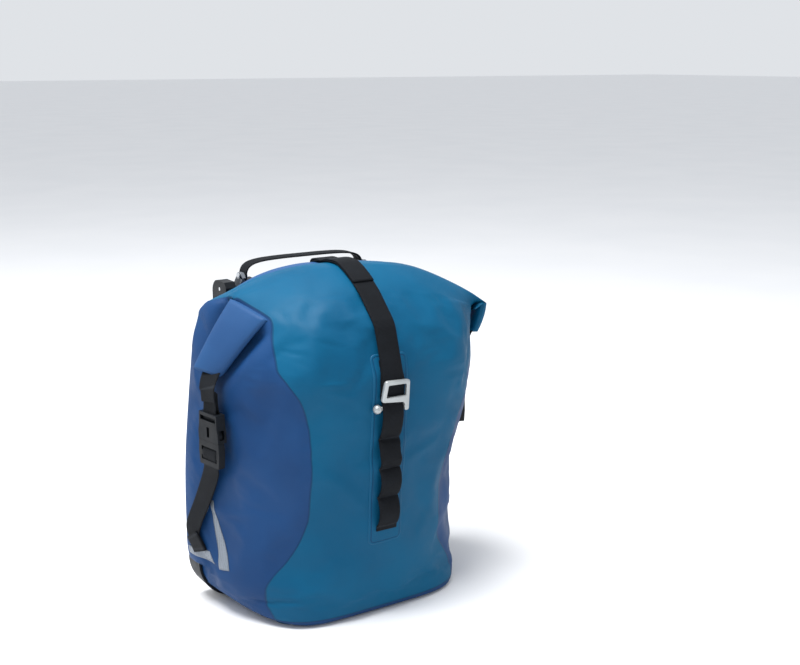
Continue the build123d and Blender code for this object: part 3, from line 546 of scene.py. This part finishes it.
def dents(points):
    """Soft unevenness of a filled bag, and the pull of its straps and folded ends."""
    x, y, z = points[..., 0], points[..., 1], points[..., 2]
    normal = unit(np.cross(
        np.roll(points, -1, axis=1) - np.roll(points, 1, axis=1), np.gradient(points, axis=0)
    ))
    wave = (
        1.3 * np.sin(x / 31 + z / 57 + 0.6) * np.sin(z / 43 - y / 38)
        + 0.9 * np.sin(x / 19 - z / 27 + 1.9) * np.sin(z / 24 + y / 21 + 0.4)
        + 0.4 * np.sin(x / 9.5 + z / 13 + y / 11)
    )
    free = smoothstep((78 - y) / 24) * smoothstep((z - 6) / 24) * smoothstep((374 - z) / 30)
    move = wave * free
    spots = (
        # x, y, z, then the reach along x, y and z, then the depth
        (-134, -2, 303, 16, 18, 24, -10), (-140, 20, 262, 20, 24, 20, -4),
        (140, 0, 280, 30, 34, 26, -6), (112, -40, 108, 26, 30, 46, -5),
        (60, -78, 150, 24, 40, 60, -2.2), (-70, -60, 60, 40, 40, 36, -2.5),
        (-96, -40, 210, 30, 30, 50, 2.0), (50, -70, 40, 44, 40, 26, 2.0),
        (-60, -60, 318, 34, 40, 20, 2.0), (70, -60, 312, 40, 40, 22, 2.2),
    )
    for cx, cy, cz, rx, ry, rz, depth in spots:
        away = ((x - cx) / rx) ** 2 + ((y - cy) / ry) ** 2 + ((z - cz) / rz) ** 2
        move = move + depth * np.exp(-away)
    for start, end, wide, depth in CREASES:
        start, end = np.array(start, float), np.array(end, float)
        share = np.clip((points - start) @ (end - start) / np.sum((end - start) ** 2), 0, 1)
        away = np.linalg.norm(points - start - share[..., None] * (end - start), axis=2)
        move = move + depth * np.exp(-(away / wide) ** 2) * (0.35 + 0.65 * np.sin(pi * share))
    move[-4:] *= 0.2
    return points + normal * move[..., None]


filled = dents(body_points())
surface = room_for(room_for(filled, LEFT_END), RIGHT_END)
pressed = np.minimum(np.linalg.norm(surface - filled, axis=2), 2.0) / 2
for _ in range(5):
    shifted = [np.roll(pressed, step, axis) * 0.92 for step in (-1, 1) for axis in (0, 1)]
    pressed = np.maximum.reduce([pressed] + shifted)
surface = eased(surface, 0.8 * smoothstep(pressed), 12)
surface = room_for(room_for(surface, LEFT_END, 1.0), RIGHT_END, 1.0)
surface = eased(surface, 0.6 * smoothstep(pressed), 4)
behind = np.arange(2 * HALF)[None, :] > HALF
across, depth, height = surface[..., 0], surface[..., 1], surface[..., 2]
left_reach = curve(height, LEFT_SEAM)[..., 0]
left_reach = left_reach + 0.26 * np.clip(depth + 27, 0, 60) * smoothstep((height - 318) / 14)
seam_gap = np.where(across < 0, -across - left_reach, across - curve(height, RIGHT_SEAM)[..., 0])
under = 8.5 - height  # the lower edge's binding, in the side panels' colour
roof_edge = height - (curve(across, REAR)[..., 1] - 9)
panel = np.where(behind, -roof_edge, np.maximum(seam_gap * 0.75, under))
weld_line = np.where(behind, np.abs(across) - 138.0, 30.0)
body = grid_piece("bag_body", surface, FABRIC, caps="strip", panel=panel, weld=weld_line)


CLOTH_FRAMES = 20
CLOTH_SHARE = 0.62  # how much of the simulated movement is kept


def swell(piece, held, most):
    """Lets the cloth swell between the places that hold it, 0 to 1 per vertex. The movement is capped
    at most millimetres, and then only CLOTH_SHARE of it is used."""
    group = piece.vertex_groups.new(name="held")
    for index, share in enumerate(held.ravel()):
        group.add([index], float(share), "REPLACE")
    cloth = modifier(piece, "CLOTH")
    settings = cloth.settings
    settings.quality, settings.mass, settings.air_damping = 4, 0.3, 4.0
    settings.tension_stiffness = settings.compression_stiffness = settings.shear_stiffness = 30.0
    settings.bending_stiffness = 1.2
    settings.use_pressure, settings.uniform_pressure_force = True, 4.0
    settings.shrink_min = settings.shrink_max = -0.03
    settings.vertex_group_mass, settings.pin_stiffness = "held", 1.0  # the pinning group
    settings.effector_weights.gravity = 0
    cloth.point_cache.frame_end = CLOTH_FRAMES
    for frame in range(1, CLOTH_FRAMES + 1):
        scene.frame_set(frame)
    made = bpy.data.meshes.new_from_object(piece.evaluated_get(bpy.context.evaluated_depsgraph_get()))
    new, old = (np.array([v.co for v in mesh.vertices]) / MM for mesh in (made, piece.data))
    bpy.data.meshes.remove(made)
    piece.modifiers.clear()
    piece.vertex_groups.clear()
    scene.frame_set(1)
    change = new - old
    far = np.linalg.norm(change, axis=1, keepdims=True)
    change *= CLOTH_SHARE * np.minimum(1, most / np.maximum(far, 0.001)) * (1 - held.reshape(-1, 1))
    piece.data.vertices.foreach_set("co", ((old + change) * MM).ravel())


held = 1 - smoothstep((74 - depth) / 24) * smoothstep((height - 8) / 22)
held = np.maximum(held, smoothstep(pressed))
under_hook = smoothstep((64 - np.abs(across - 22)) / 24)  # the hook's whole way along x
under_hook = under_hook * smoothstep((46 - np.abs(height - 242)) / 26)
held = np.maximum(held, under_hook * (depth < 0))
held[-(ROOF_ROWS // 3 + 3):] = 1.0
held = np.clip(np.maximum(held, 0.04), 0, 1)
swell(body, held, 5.0)
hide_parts("bag_shell")


def surface_tree(*pieces):
    """One search tree over the surfaces of pieces."""
    points, faces = [], []
    for piece in pieces:
        first = len(points)
        points += [v.co for v in piece.data.vertices]
        faces += [[first + i for i in p.vertices] for p in piece.data.polygons]
    return BVHTree.FromPolygons(points, faces)


tree = surface_tree(body)


def on_body(origin, direction, out=0.0):
    """Point where a ray meets the body, moved along the outward normal, and that normal."""
    hit, normal, _, _ = tree.ray_cast(Vector(origin) * MM, Vector(direction))
    hit, normal = np.array(hit) / MM, np.array(normal)
    if np.dot(normal, direction) > 0 and np.dot(hit - np.array([0, 10, 180]), normal) < 0:
        normal = -normal
    return hit + normal * out, normal


def front_point(x, z, out=0.0):
    return on_body((x, -250, z), (0, 1, 0), out)


def side_point(side, y, z, out=0.0):
    return on_body((side * 300, y, z), (-side, 0, 0), out)


# ---- rolled ends ----------------------------------------------------------------------
def folded_end(name, end, thick, bulge, corner, teal, slip=0.16):
    """Flattened end of the roll, folded down: a bundle of layers from its crease to its foot.
    Crease and foot are each its front and rear corner on the outer face. The crease narrows to the
    corner share, and the front of the end is teal by that share of its width."""
    crease, foot = (np.array(pair, float) for pair in end)
    rows = []
    count, around = EAR_ROWS, EAR_AROUND
    inward = np.array([-np.sign(crease[0, 0]) * 0.93, 0.0, -0.1])
    for t in np.linspace(-slip, 1, count):
        ends = crease + (foot - crease) * max(t, 0) + inward * 90 * max(-t, 0)
        sag = bulge * sin(pi * min(max(t, 0), 1)) ** 0.8
        wide = unit(ends[1] - ends[0])
        down = unit((foot - crease).mean(0))
        out = unit(np.cross(down, wide))
        if out[0] * ends[:, 0].mean() < 0:
            out = -out
        half = np.linalg.norm(ends[1] - ends[0]) / 2
        out = unit(out + np.array([0, 0, 1.2]) * max(-t, 0) / slip)
        depth = thick * np.interp(t, [-slip, 0, 0.5, 0.94, 1], [0.8, 1, 1.1, 1, 0.72])
        half *= np.interp(t, [-slip, 0, 0.2, 0.94, 1], [1, corner, 1, 1, 0.97])
        middle = ends.mean(0) - out * depth / 2 + out * sag
        row = []
        for a in np.linspace(0, 2 * pi, around, endpoint=False):
            c, s = cos(a), sin(a)
            w = half * np.sign(c) * abs(c) ** 0.62
            n = depth / 2 * np.sign(s) * abs(s) ** 0.8
            layer = 0.5 * abs(sin(3.2 * pi * n / depth)) * abs(c) ** 3
            row.append(middle + wide * (w - np.sign(w) * layer) + out * n)
        rows.append(row)
    rows = np.array(rows)
    front, rear = rows[..., 1].min(1, keepdims=True), rows[..., 1].max(1, keepdims=True)
    panel = rows[..., 1] - front - teal * (rear - front)
    return grid_piece(name, rows, LIT_ROLL_FABRIC, panel=panel, weld=np.full(panel.shape, 30.0))


ears = {
    -1: folded_end("left_roll_end", LEFT_END, END_THICK, 3.0, 1.0, -0.2),
    1: folded_end("right_roll_end", RIGHT_END, END_THICK, 2.5, 0.98, 0.4),
}
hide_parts("roll_closure", "closure_strip")


ROLL_FROM, ROLL_TO = -127, 166
ROLL_HALF_DEEP, ROLL_HALF_HIGH = 15, 7.2


def roll_bundle():
    """The rolled collar behind the bag's top edge, with its spiral of layers."""
    rows = []
    around = 72
    for x in np.linspace(ROLL_FROM, ROLL_TO, 90):
        y, z = curve(x, REAR)
        slope = (curve(x + 1, REAR) - curve(x - 1, REAR)) / 2
        along = unit([1, slope[0], slope[1]])
        rear_way = unit(np.cross([0, 0, 1], along))
        up = np.cross(along, rear_way)
        before, after = x - ROLL_FROM, ROLL_TO - x
        share = 0.25 + 0.75 * smoothstep(before / 16) * smoothstep(after / 12)
        sunk = 1 - smoothstep(before / 75) * smoothstep(after / 45)
        base = np.array([x, y, z]) + rear_way * (14 + 5 * sunk) - up * (8.8 + 4.2 * sunk)
        row = []
        for a in np.linspace(0, 2 * pi, around, endpoint=False):
            c, s = cos(a), sin(a)
            n = ROLL_HALF_HIGH * np.sign(s) * abs(s) ** 0.8
            w = ROLL_HALF_DEEP * np.sign(c) * abs(c) ** 0.7
            layer = 0.55 * abs(sin(3 * pi * n / (2 * ROLL_HALF_HIGH))) * max(c, 0) ** 2
            row.append(base + share * (rear_way * (w - layer) + up * n))
        rows.append(row)
    rows = np.array(rows)
    flat = np.full(rows.shape[:2], 30.0)
    return grid_piece("roll_bundle", rows, LIT_ROLL_FABRIC, panel=flat, weld=flat)


bundle = roll_bundle()
tree = surface_tree(body, bundle)

# ---- patch and loops on the front -----------------------------------------------------
PATCH_LOW, PATCH_HIGH, PATCH_HALF = 87.0, 296.0, 21.0


def front_patch():
    """Welded backing patch: a raised rounded rectangle that follows the front."""
    rows, weld_rows = [], []
    middle, half_z = (PATCH_LOW + PATCH_HIGH) / 2, (PATCH_HIGH - PATCH_LOW) / 2
    inset = [0.0, 0.35, 1.0, 2.6, 3.2, 3.8, 6.0, 10.0, 15.0, 20.0, 21.0]
    rise = [-0.4, 0.75, 1.05] + [1.1] * 8
    for inward, out in zip(inset, rise):
        w, h = PATCH_HALF - inward, half_z - inward
        r = min(max(7 - inward, 0.8), w)
        dense = []
        for sx, sz, start in ((1, 1, 0), (-1, 1, 1), (-1, -1, 2), (1, -1, 3)):
            for k in range(9):
                a = (start + k / 8) * pi / 2
                dense.append((sx * (w - r) + r * cos(a), sz * (h - r) + r * sin(a)))
            steps = 8 if start % 2 == 0 else 40
            last = np.array(dense[-1])
            across = start % 2 == 0
            goal = last * (-1, 1) if across else last * (1, -1)
            dense += [tuple(last + (goal - last) * k / steps) for k in range(1, steps)]
        rows.append([front_point(x, middle + z, out)[0] for x, z in dense])
        weld_rows.append([3.2 - inward] * len(dense))
    flat = np.full((len(rows), len(rows[0])), -30.0)
    return grid_piece("welded_patch", rows, PATCH_FABRIC, caps=None, panel=flat, weld=weld_rows)


patch = front_patch()
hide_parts("front_patch")

LOOP_SEAMS = [108.0, 141.0, 173.5, 206.0, 250.0]


def daisy_chain():
    """One length of webbing sewn down at five places, so that it stands up in four loops."""
    path = [front_point(0, 103.0, 2.0)[0], front_point(0, 105.5, 2.2)[0]]
    for low, high in zip(LOOP_SEAMS, LOOP_SEAMS[1:]):
        rise = 6.6 if high < 240 else 6.4
        for t in np.linspace(0, 1, 15):
            z = low + (high - low) * t
            lift = rise * sin(pi * t) ** 0.75
            path.append(front_point(0, z, 2.2 + lift)[0])
    path.append(front_point(0, 254.0, 2.2)[0])
    path = np.array(path)
    keep = np.r_[True, np.linalg.norm(np.diff(path, axis=0), axis=1) > 0.3]
    path = spaced(path[keep], 150)
    walked = np.r_[0, np.cumsum(np.linalg.norm(np.diff(path, axis=0), axis=1))]
    sewn = [(float(np.interp(z, path[:, 2], walked)), 1.6) for z in LOOP_SEAMS]
    return ribbon("accessory_loops", path, (1, 0, 0), 25.0, 1.7, stitches=sewn)


chain = daisy_chain()
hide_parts("daisy_chain")

# ---- front strap and its hook ---------------------------------------------------------
ARM_Z = 236.0
BAR_UP = 26.8  # the strap's bar above the arm
LEAN = 0.086  # how far the hook leans back, per millimetre of height


def hook_point(x, up, out=0.0):
    """Point in the hook's leaning plane, up from its arm."""
    return np.array([x, hook_y - LEAN * (up - BAR_UP) - out, ARM_Z + up])


hook_y = front_point(0, ARM_Z + BAR_UP, 7.6)[0][1]


def cast_hook():
    """Cast hook: a four-sided frame for the strap and a leg; its arm and ball are made apart."""
    outer = [(-11.7, 34.6), (17.4, 33.1), (17.4, 0.2), (12.6, 0.2), (12.6, 9.4), (-15.3, 12.4)]
    window = [(-8.2, 29.8), (13.9, 29.0), (13.7, 16.4), (-10.2, 16.6)]
    shape = bpy.data.curves.new("closure_hook", "CURVE")
    shape.dimensions, shape.fill_mode = "2D", "BOTH"
    shape.extrude, shape.bevel_depth, shape.bevel_resolution = 0.9 * MM, 1.3 * MM, 3
    shape.offset = -1.0 * MM
    for points, radius in ((outer, 3.4), (window, 1.6)):
        line = []
        count = len(points)
        for k in range(count):
            p, a, b = (np.array(points[(k + d) % count], float) for d in (0, -1, 1))
            near = min(radius, 0.48 * np.linalg.norm(a - p), 0.48 * np.linalg.norm(b - p))
            first, last = p + unit(a - p) * near, p + unit(b - p) * near
            for t in np.linspace(0, 1, 7):
                line.append((1 - t) ** 2 * first + 2 * t * (1 - t) * p + t * t * last)
        spline = shape.splines.new("POLY")
        spline.points.add(len(line) - 1)
        spline.points.foreach_set("co", np.array([(x * MM, z * MM, 0, 1) for x, z in line]).ravel())
        spline.use_cyclic_u = True
    piece = bpy.data.objects.new("closure_hook", shape)
    scene.collection.objects.link(piece)
    bpy.context.view_layer.update()
    flat = bpy.data.meshes.new_from_object(piece.evaluated_get(bpy.context.evaluated_depsgraph_get()))
    bpy.data.objects.remove(piece)
    for v in flat.vertices:
        x, up, out = v.co / MM
        v.co = Vector(hook_point(x, up, -out)) * MM
    flat.materials.clear()
    flat.materials.append(CAST)
    flat.polygons.foreach_set("use_smooth", [True] * len(flat.polygons))
    made = bpy.data.objects.new("closure_hook", flat)
    scene.collection.objects.link(made)
    return made


def round_bar(name, path, radii, material, around=20):
    """Bar of changing radius along a path."""
    path = np.array(path, float)
    along = unit(np.gradient(path, axis=0))
    side = unit(np.cross(along, np.broadcast_to([0.0, 0.31, 0.95], path.shape)))
    up = np.cross(side, along)
    a = np.linspace(0, 2 * pi, around, endpoint=False)
    rows = [
        [p + r * (cos(t) * s + sin(t) * u) for t in a] for p, s, u, r in zip(path, side, up, radii)
    ]
    return grid_piece(name, rows, material)


hook = cast_hook()
arm_back = 3.6
arm_path = [hook_point(x, 3.2 + (15.6 - x) * 0.04, -arm_back) for x in np.linspace(15.6, -14, 12)]
arm = round_bar("closure_hook_arm", arm_path, [1.2] + [2.2] * 10 + [2.0], CAST)
ball_x = -17.6
turns = np.linspace(0, pi, 15)
ball_path = [hook_point(ball_x + 4.7 * cos(t), 4.5, -arm_back + 0.4) for t in turns]
ball = round_bar("closure_hook_ball", ball_path, np.maximum(4.7 * np.sin(turns), 0.05), CAST, 28)
for part in (hook, arm, ball):
    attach(part, "front_hook")
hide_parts("g_hook")


def over_the_top(angles, out, x=0.0):
    """Outermost points around a line inside the body, at angles from straight ahead up to the back."""
    middle = np.array([x, 22.0, 262.0])
    found = []
    for a in np.radians(angles):
        way = np.array([0, -cos(a), sin(a)])
        found.append(on_body(middle + way * 250, -way)[0] + way * out)
    return np.array(found)


def taut(points):
    """The points that a line pulled tight round the front would touch; y and z only."""
    kept = []
    for p in points:
        while len(kept) > 1:
            (_, y0, z0), (_, y1, z1) = kept[-2], kept[-1]
            if (y1 - y0) * (p[2] - z0) - (z1 - z0) * (p[1] - y0) > 0:
                break
            kept.pop()
        kept.append(p)
    return kept


def front_strap():
    """Closure strap: from the back wall over the roll and down to the hook's bar, round it and sewn."""
    top = over_the_top(np.linspace(150, 14, 70), 1.9)
    back = [(0, BACK_Y + 1.2, 292), (0, BACK_Y + 1.2, 318)]
    bar_front = hook_point(0, 33, -2.9)
    over = taut([tuple(p) for p in top if p[2] > bar_front[2] + 6] + [tuple(bar_front)])
    lead = [hook_point(0, 28, -3.0), hook_point(0, 22, -2.6)]
    fold = [hook_point(0, 15.0, -2.6), hook_point(0, 13.4, -4.0), hook_point(0, 15.0, -5.6)]
    rising = unit(np.array(over[-2]) - over[-1])
    inner = [hook_point(0, 24, -5.4)]
    inner += [bar_front + rising * up + (0, 2.5, 0) for up in (3, 12, 22)]
    return rounded(spaced(np.array(back + over + lead + fold + inner, float), 260), 260, 2)


strap_path = front_strap()
strap_wide = 25.0 + 2.2 * smoothstep((ARM_Z + 44 - strap_path[:, 2]) / 12)
strap = ribbon("closure_strap", strap_path, (1, 0, 0), strap_wide, 1.7)
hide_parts("front_strap", "front_strap_end")
tail_path = over_the_top(np.linspace(118, 58.5, 40), 3.7)
tail = ribbon("closure_strap_tail", tail_path, (1, 0, 0), 25.0, 1.7, stitches=[(1.0, 3), (74, 2.4)])
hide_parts("front_strap_tail")

# ---- side straps ----------------------------------------------------------------------
# Film stripes on the side walls: each long edge's two ends, as y and z.
REFLECTORS = {
    "tapered": [[(31, 129), (19, 54)], [(27.5, 130), (3, 57)]],
    "level": [[(70, 67), (33, 71)], [(69, 59), (26, 58)]],
    "thin": [[(33, 127), (66, 70)], [(31.5, 125), (63.5, 69)]],
}


def plug_face(side):
    """Way that the flat faces of a side's buckle look."""
    low, high = box(("left" if side < 0 else "right") + "_buckle_socket")
    deep, wide = high[0] - low[0], high[1] - low[1]
    return unit([side, -np.clip((deep - 11.0) / wide, 0.1, 0.3), 0.0])


SOCKET_BAR_Z, PLUG_BAR_Z = 227.2, 191.0
side_pieces = []
for side, word in ((-1, "left"), (1, "right")):
    socket_low, socket_high = box(f"{word}_buckle_socket")
    plug_low, plug_high = box(f"{word}_buckle_plug")
    socket = (socket_low + socket_high) / 2
    plug = (plug_low + plug_high) / 2
    ear_rows = np.array([v.co for v in ears[side].data.vertices]).reshape(EAR_ROWS, EAR_AROUND, 3) / MM
    foot = ear_rows[-3].mean(0)
    up_foot = ear_rows[-9].mean(0)
    bar = np.array([socket[0], socket[1], SOCKET_BAR_Z])
    start_way = unit(ear_rows[-3, 0] - ear_rows[-3, EAR_AROUND // 2])
    start_way = start_way * np.sign(start_way[1])
    outward = plug_face(side)
    lean_way = unit(np.cross([0, 0, 1], outward))
    lean_way = lean_way * np.sign(lean_way[1])

    def by_buckle(away, up, back=0.0):
        """Point from the middle of the socket's bar: outward, up and rearward."""
        return bar + outward * away + np.array([0, 0, up]) + lean_way * back

    turn = np.linspace(0, 1, 60)[:, None]
    drop = [up_foot - outward * 2, foot - outward * 3]
    drop += [by_buckle(2.4, 34, 3), by_buckle(3.4, 26, 1), by_buckle(3.6, 17.5)]
    ways = start_way * (1 - smoothstep(turn * 1.5)) + lean_way * smoothstep(turn * 1.5)
    upper = ribbon(f"{word}_roll_tab", rounded(drop, 60, 3), ways, 24.5, 1.6, stitches=[(44, 1.2)])
    round_bar_way = [
        (1.6, 30), (1.6, 14), (2.6, 4), (3.4, 1), (1.5, -3.2),
        (-1.5, -3.2), (-3.4, 1), (-2.6, 4), (-0.3, 14), (-0.3, 28),
    ]
    loop = [by_buckle(away, up) for away, up in round_bar_way]
    tab = ribbon(f"{word}_buckle_loop", rounded(loop, 80, 3), lean_way, 22.5, 1.5)
    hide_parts(f"{word}_buckle_tab")

    anchor_top, _ = side_point(side, 57.0, 86, 2.6)
    anchor_mid, _ = side_point(side, 52.0, 77, 2.6)
    anchor_low, _ = side_point(side, 48.0, 67, 2.4)
    slot_bar = np.array([plug[0], plug[1], PLUG_BAR_Z])

    def by_plug(away, up, back=0.0):
        """The same from the middle of the plug's bar."""
        return slot_bar + outward * away + np.array([0, 0, up]) + lean_way * back

    middle_wall, _ = side_point(side, float((anchor_top[1] + slot_bar[1]) / 2 + 6), 130, 2.2)
    strap_path_side = [
        by_plug(-1.5, 6), by_plug(3.4, 1.5), by_plug(3.6, -5), by_plug(1.0, -13, 1),
        by_plug(-3.2, -26, 7), middle_wall, anchor_top + (0, -4, 12), anchor_top,
        anchor_mid - outward * 1.4, anchor_low - outward * 1.4,
    ]
    long_path = rounded(strap_path_side, 120, 3)
    long_strap = ribbon(f"{word}_pull_strap", long_path, lean_way, 24.5, 1.6)
    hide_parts(f"{word}_side_strap")
    fold = [anchor_top + outward * 1.6 + (0, 0, -1), anchor_mid + outward * 0.8]
    fold.append(anchor_low + outward * 0.4)
    sewn = [(3, 1.2), (18, 1.2)]
    anchor = ribbon(f"{word}_sewn_tab", rounded(fold, 30, 2), lean_way, 26.5, 1.9, stitches=sewn)
    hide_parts(f"{word}_strap_anchor")
    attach(upper, "bag")
    side_pieces.append((word, tab, long_strap, anchor, slot_bar, anchor_top))

    for tag, ends in REFLECTORS.items():
        rows = []
        for t in np.linspace(0, 1, 26):
            (y0, z0), (y1, z1) = (np.array(a) + (np.array(b) - np.array(a)) * t for a, b in ends)
            steps = np.linspace(0, 1, 7)
            spots = [(y0 + (y1 - y0) * d, z0 + (z1 - z0) * d) for d in steps]
            rows.append([side_point(side, y, z, 0.35)[0] for y, z in spots])
        stripe = grid_piece(f"{word}_{tag}_reflector", rows, FILM, closed=False, flip=side > 0)
        modifier(stripe, "SOLIDIFY", thickness=0.3 * MM, offset=0)
        finished(stripe)
        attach(stripe, "bag")
        if tag == "tapered":
            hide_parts(f"{word}_reflector")

# ---- handle ---------------------------------------------------------------------------
grip_low, grip_high = box("carry_handle")
grip_y = (grip_low[1] + grip_high[1]) / 2
leg_x = grip_high[0] - 0.9
top_z = grip_high[2] - 0.9
half_arch = [(leg_x, 350), (leg_x, 361), (leg_x - 6, 368)]
half_arch += [(leg_x - 20, top_z - 1), (leg_x - 44, top_z), (0, top_z)]
arch = [(x, grip_y, z) for x, z in half_arch] + [(-x, grip_y, z) for x, z in half_arch[-2::-1]]
grip = ribbon("carry_strap", rounded(arch, 120, 3), (0, 1, 0), 18.0, 1.8, stitches=[(8, 1.0), (22, 1.0)])
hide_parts("carry_handle")

# ---- what moves with what -------------------------------------------------------------
for piece in (body, patch, chain, bundle, tail, ears[-1], ears[1]):
    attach(piece, "bag")
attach(grip, "handle")
bar = hook_point(0, 28.9)
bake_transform(strap)
for word, tab, long_strap, anchor, slot_bar, anchor_top in side_pieces:
    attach(tab, "bag")
    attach(anchor, "bag")
    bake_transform(long_strap)

# ---- finishes of the CAD pieces -------------------------------------------------------
finishes = {
    "upper_rail": BLACK, "lower_rail": BLACK, "left_hook": BLACK, "right_hook": BLACK,
    "lower_slider": BLACK, "lower_hook": BLACK, "left_edge_guard": BLACK, "right_edge_guard": BLACK,
    "left_latch": GREY, "right_latch": GREY, "back_stiffener": INNER, "base_panel": PATCH_FABRIC,
    "upper_rail_screws": STEEL, "lower_rail_screws": STEEL, "upper_rail_nuts": STEEL,
    "lower_rail_nuts": STEEL, "latch_pins": STEEL, "clamp_screws": STEEL, "latch_springs": STEEL,
    "handle_rivets": STEEL, "lower_hook_screw": STEEL,
}
for word in ("left", "right"):
    for part in ("buckle_socket", "buckle_plug", "rear_prong", "front_prong"):
        finishes[f"{word}_{part}"] = BLACK
for name, node in nodes.items():
    if name not in finishes:
        continue
    node.data.materials.clear()
    node.data.materials.append(finishes[name])
    if name not in ("latch_springs", "back_stiffener"):
        wide = 0.9 if "guard" in name or "hook" in name or "buckle" in name else 0.6
        modifier(node, "BEVEL", width=wide * MM, segments=2, limit_method="ANGLE", angle_limit=radians(35))

# ---- floor, light and camera ----------------------------------------------------------
bpy.ops.mesh.primitive_plane_add(size=60, location=(0, 0, 0))
floor = bpy.context.object
floor.name = "floor"
floor.data.materials.append(floor_paint())

world = bpy.data.worlds.new("studio")
scene.world = world
world.use_nodes = True
world.node_tree.nodes["Background"].inputs["Color"].default_value = (0.93, 0.96, 1.0, 1)
world.node_tree.nodes["Background"].inputs["Strength"].default_value = 0.8


def soft_light(name, place, aim, size, power, colour=(1, 1, 1)):
    data = bpy.data.lights.new(name, "AREA")
    data.shape, data.size, data.energy, data.color = "DISK", size, power, colour
    lamp = bpy.data.objects.new(name, data)
    lamp.location = place
    lamp.rotation_mode = "QUATERNION"
    lamp.rotation_quaternion = (Vector(aim) - Vector(place)).to_track_quat("-Z", "Y")
    scene.collection.objects.link(lamp)


soft_light("key", (-0.6, -0.05, 2.35), (0, 0, 0.2), 1.3, 80)
soft_light("front_fill", (1.6, -2.2, 1.1), (0, 0, 0.2), 1.8, 1.5, (0.97, 0.98, 1.0))
soft_light("rim", (-1.4, 1.2, 1.7), (0, 0, 0.3), 1.2, 11)

camera = bpy.data.cameras.new("camera")
camera.lens, camera.sensor_width = 52.98, 36.0
eye = bpy.data.objects.new("camera", camera)
eye.location = (-0.618, -1.072, 0.589)
eye.rotation_mode = "QUATERNION"
eye.rotation_quaternion = (-Vector((-0.526, -0.819, 0.2275))).to_track_quat("-Z", "Y")
scene.collection.objects.link(eye)
scene.camera = eye
scene.view_settings.view_transform = "Standard"
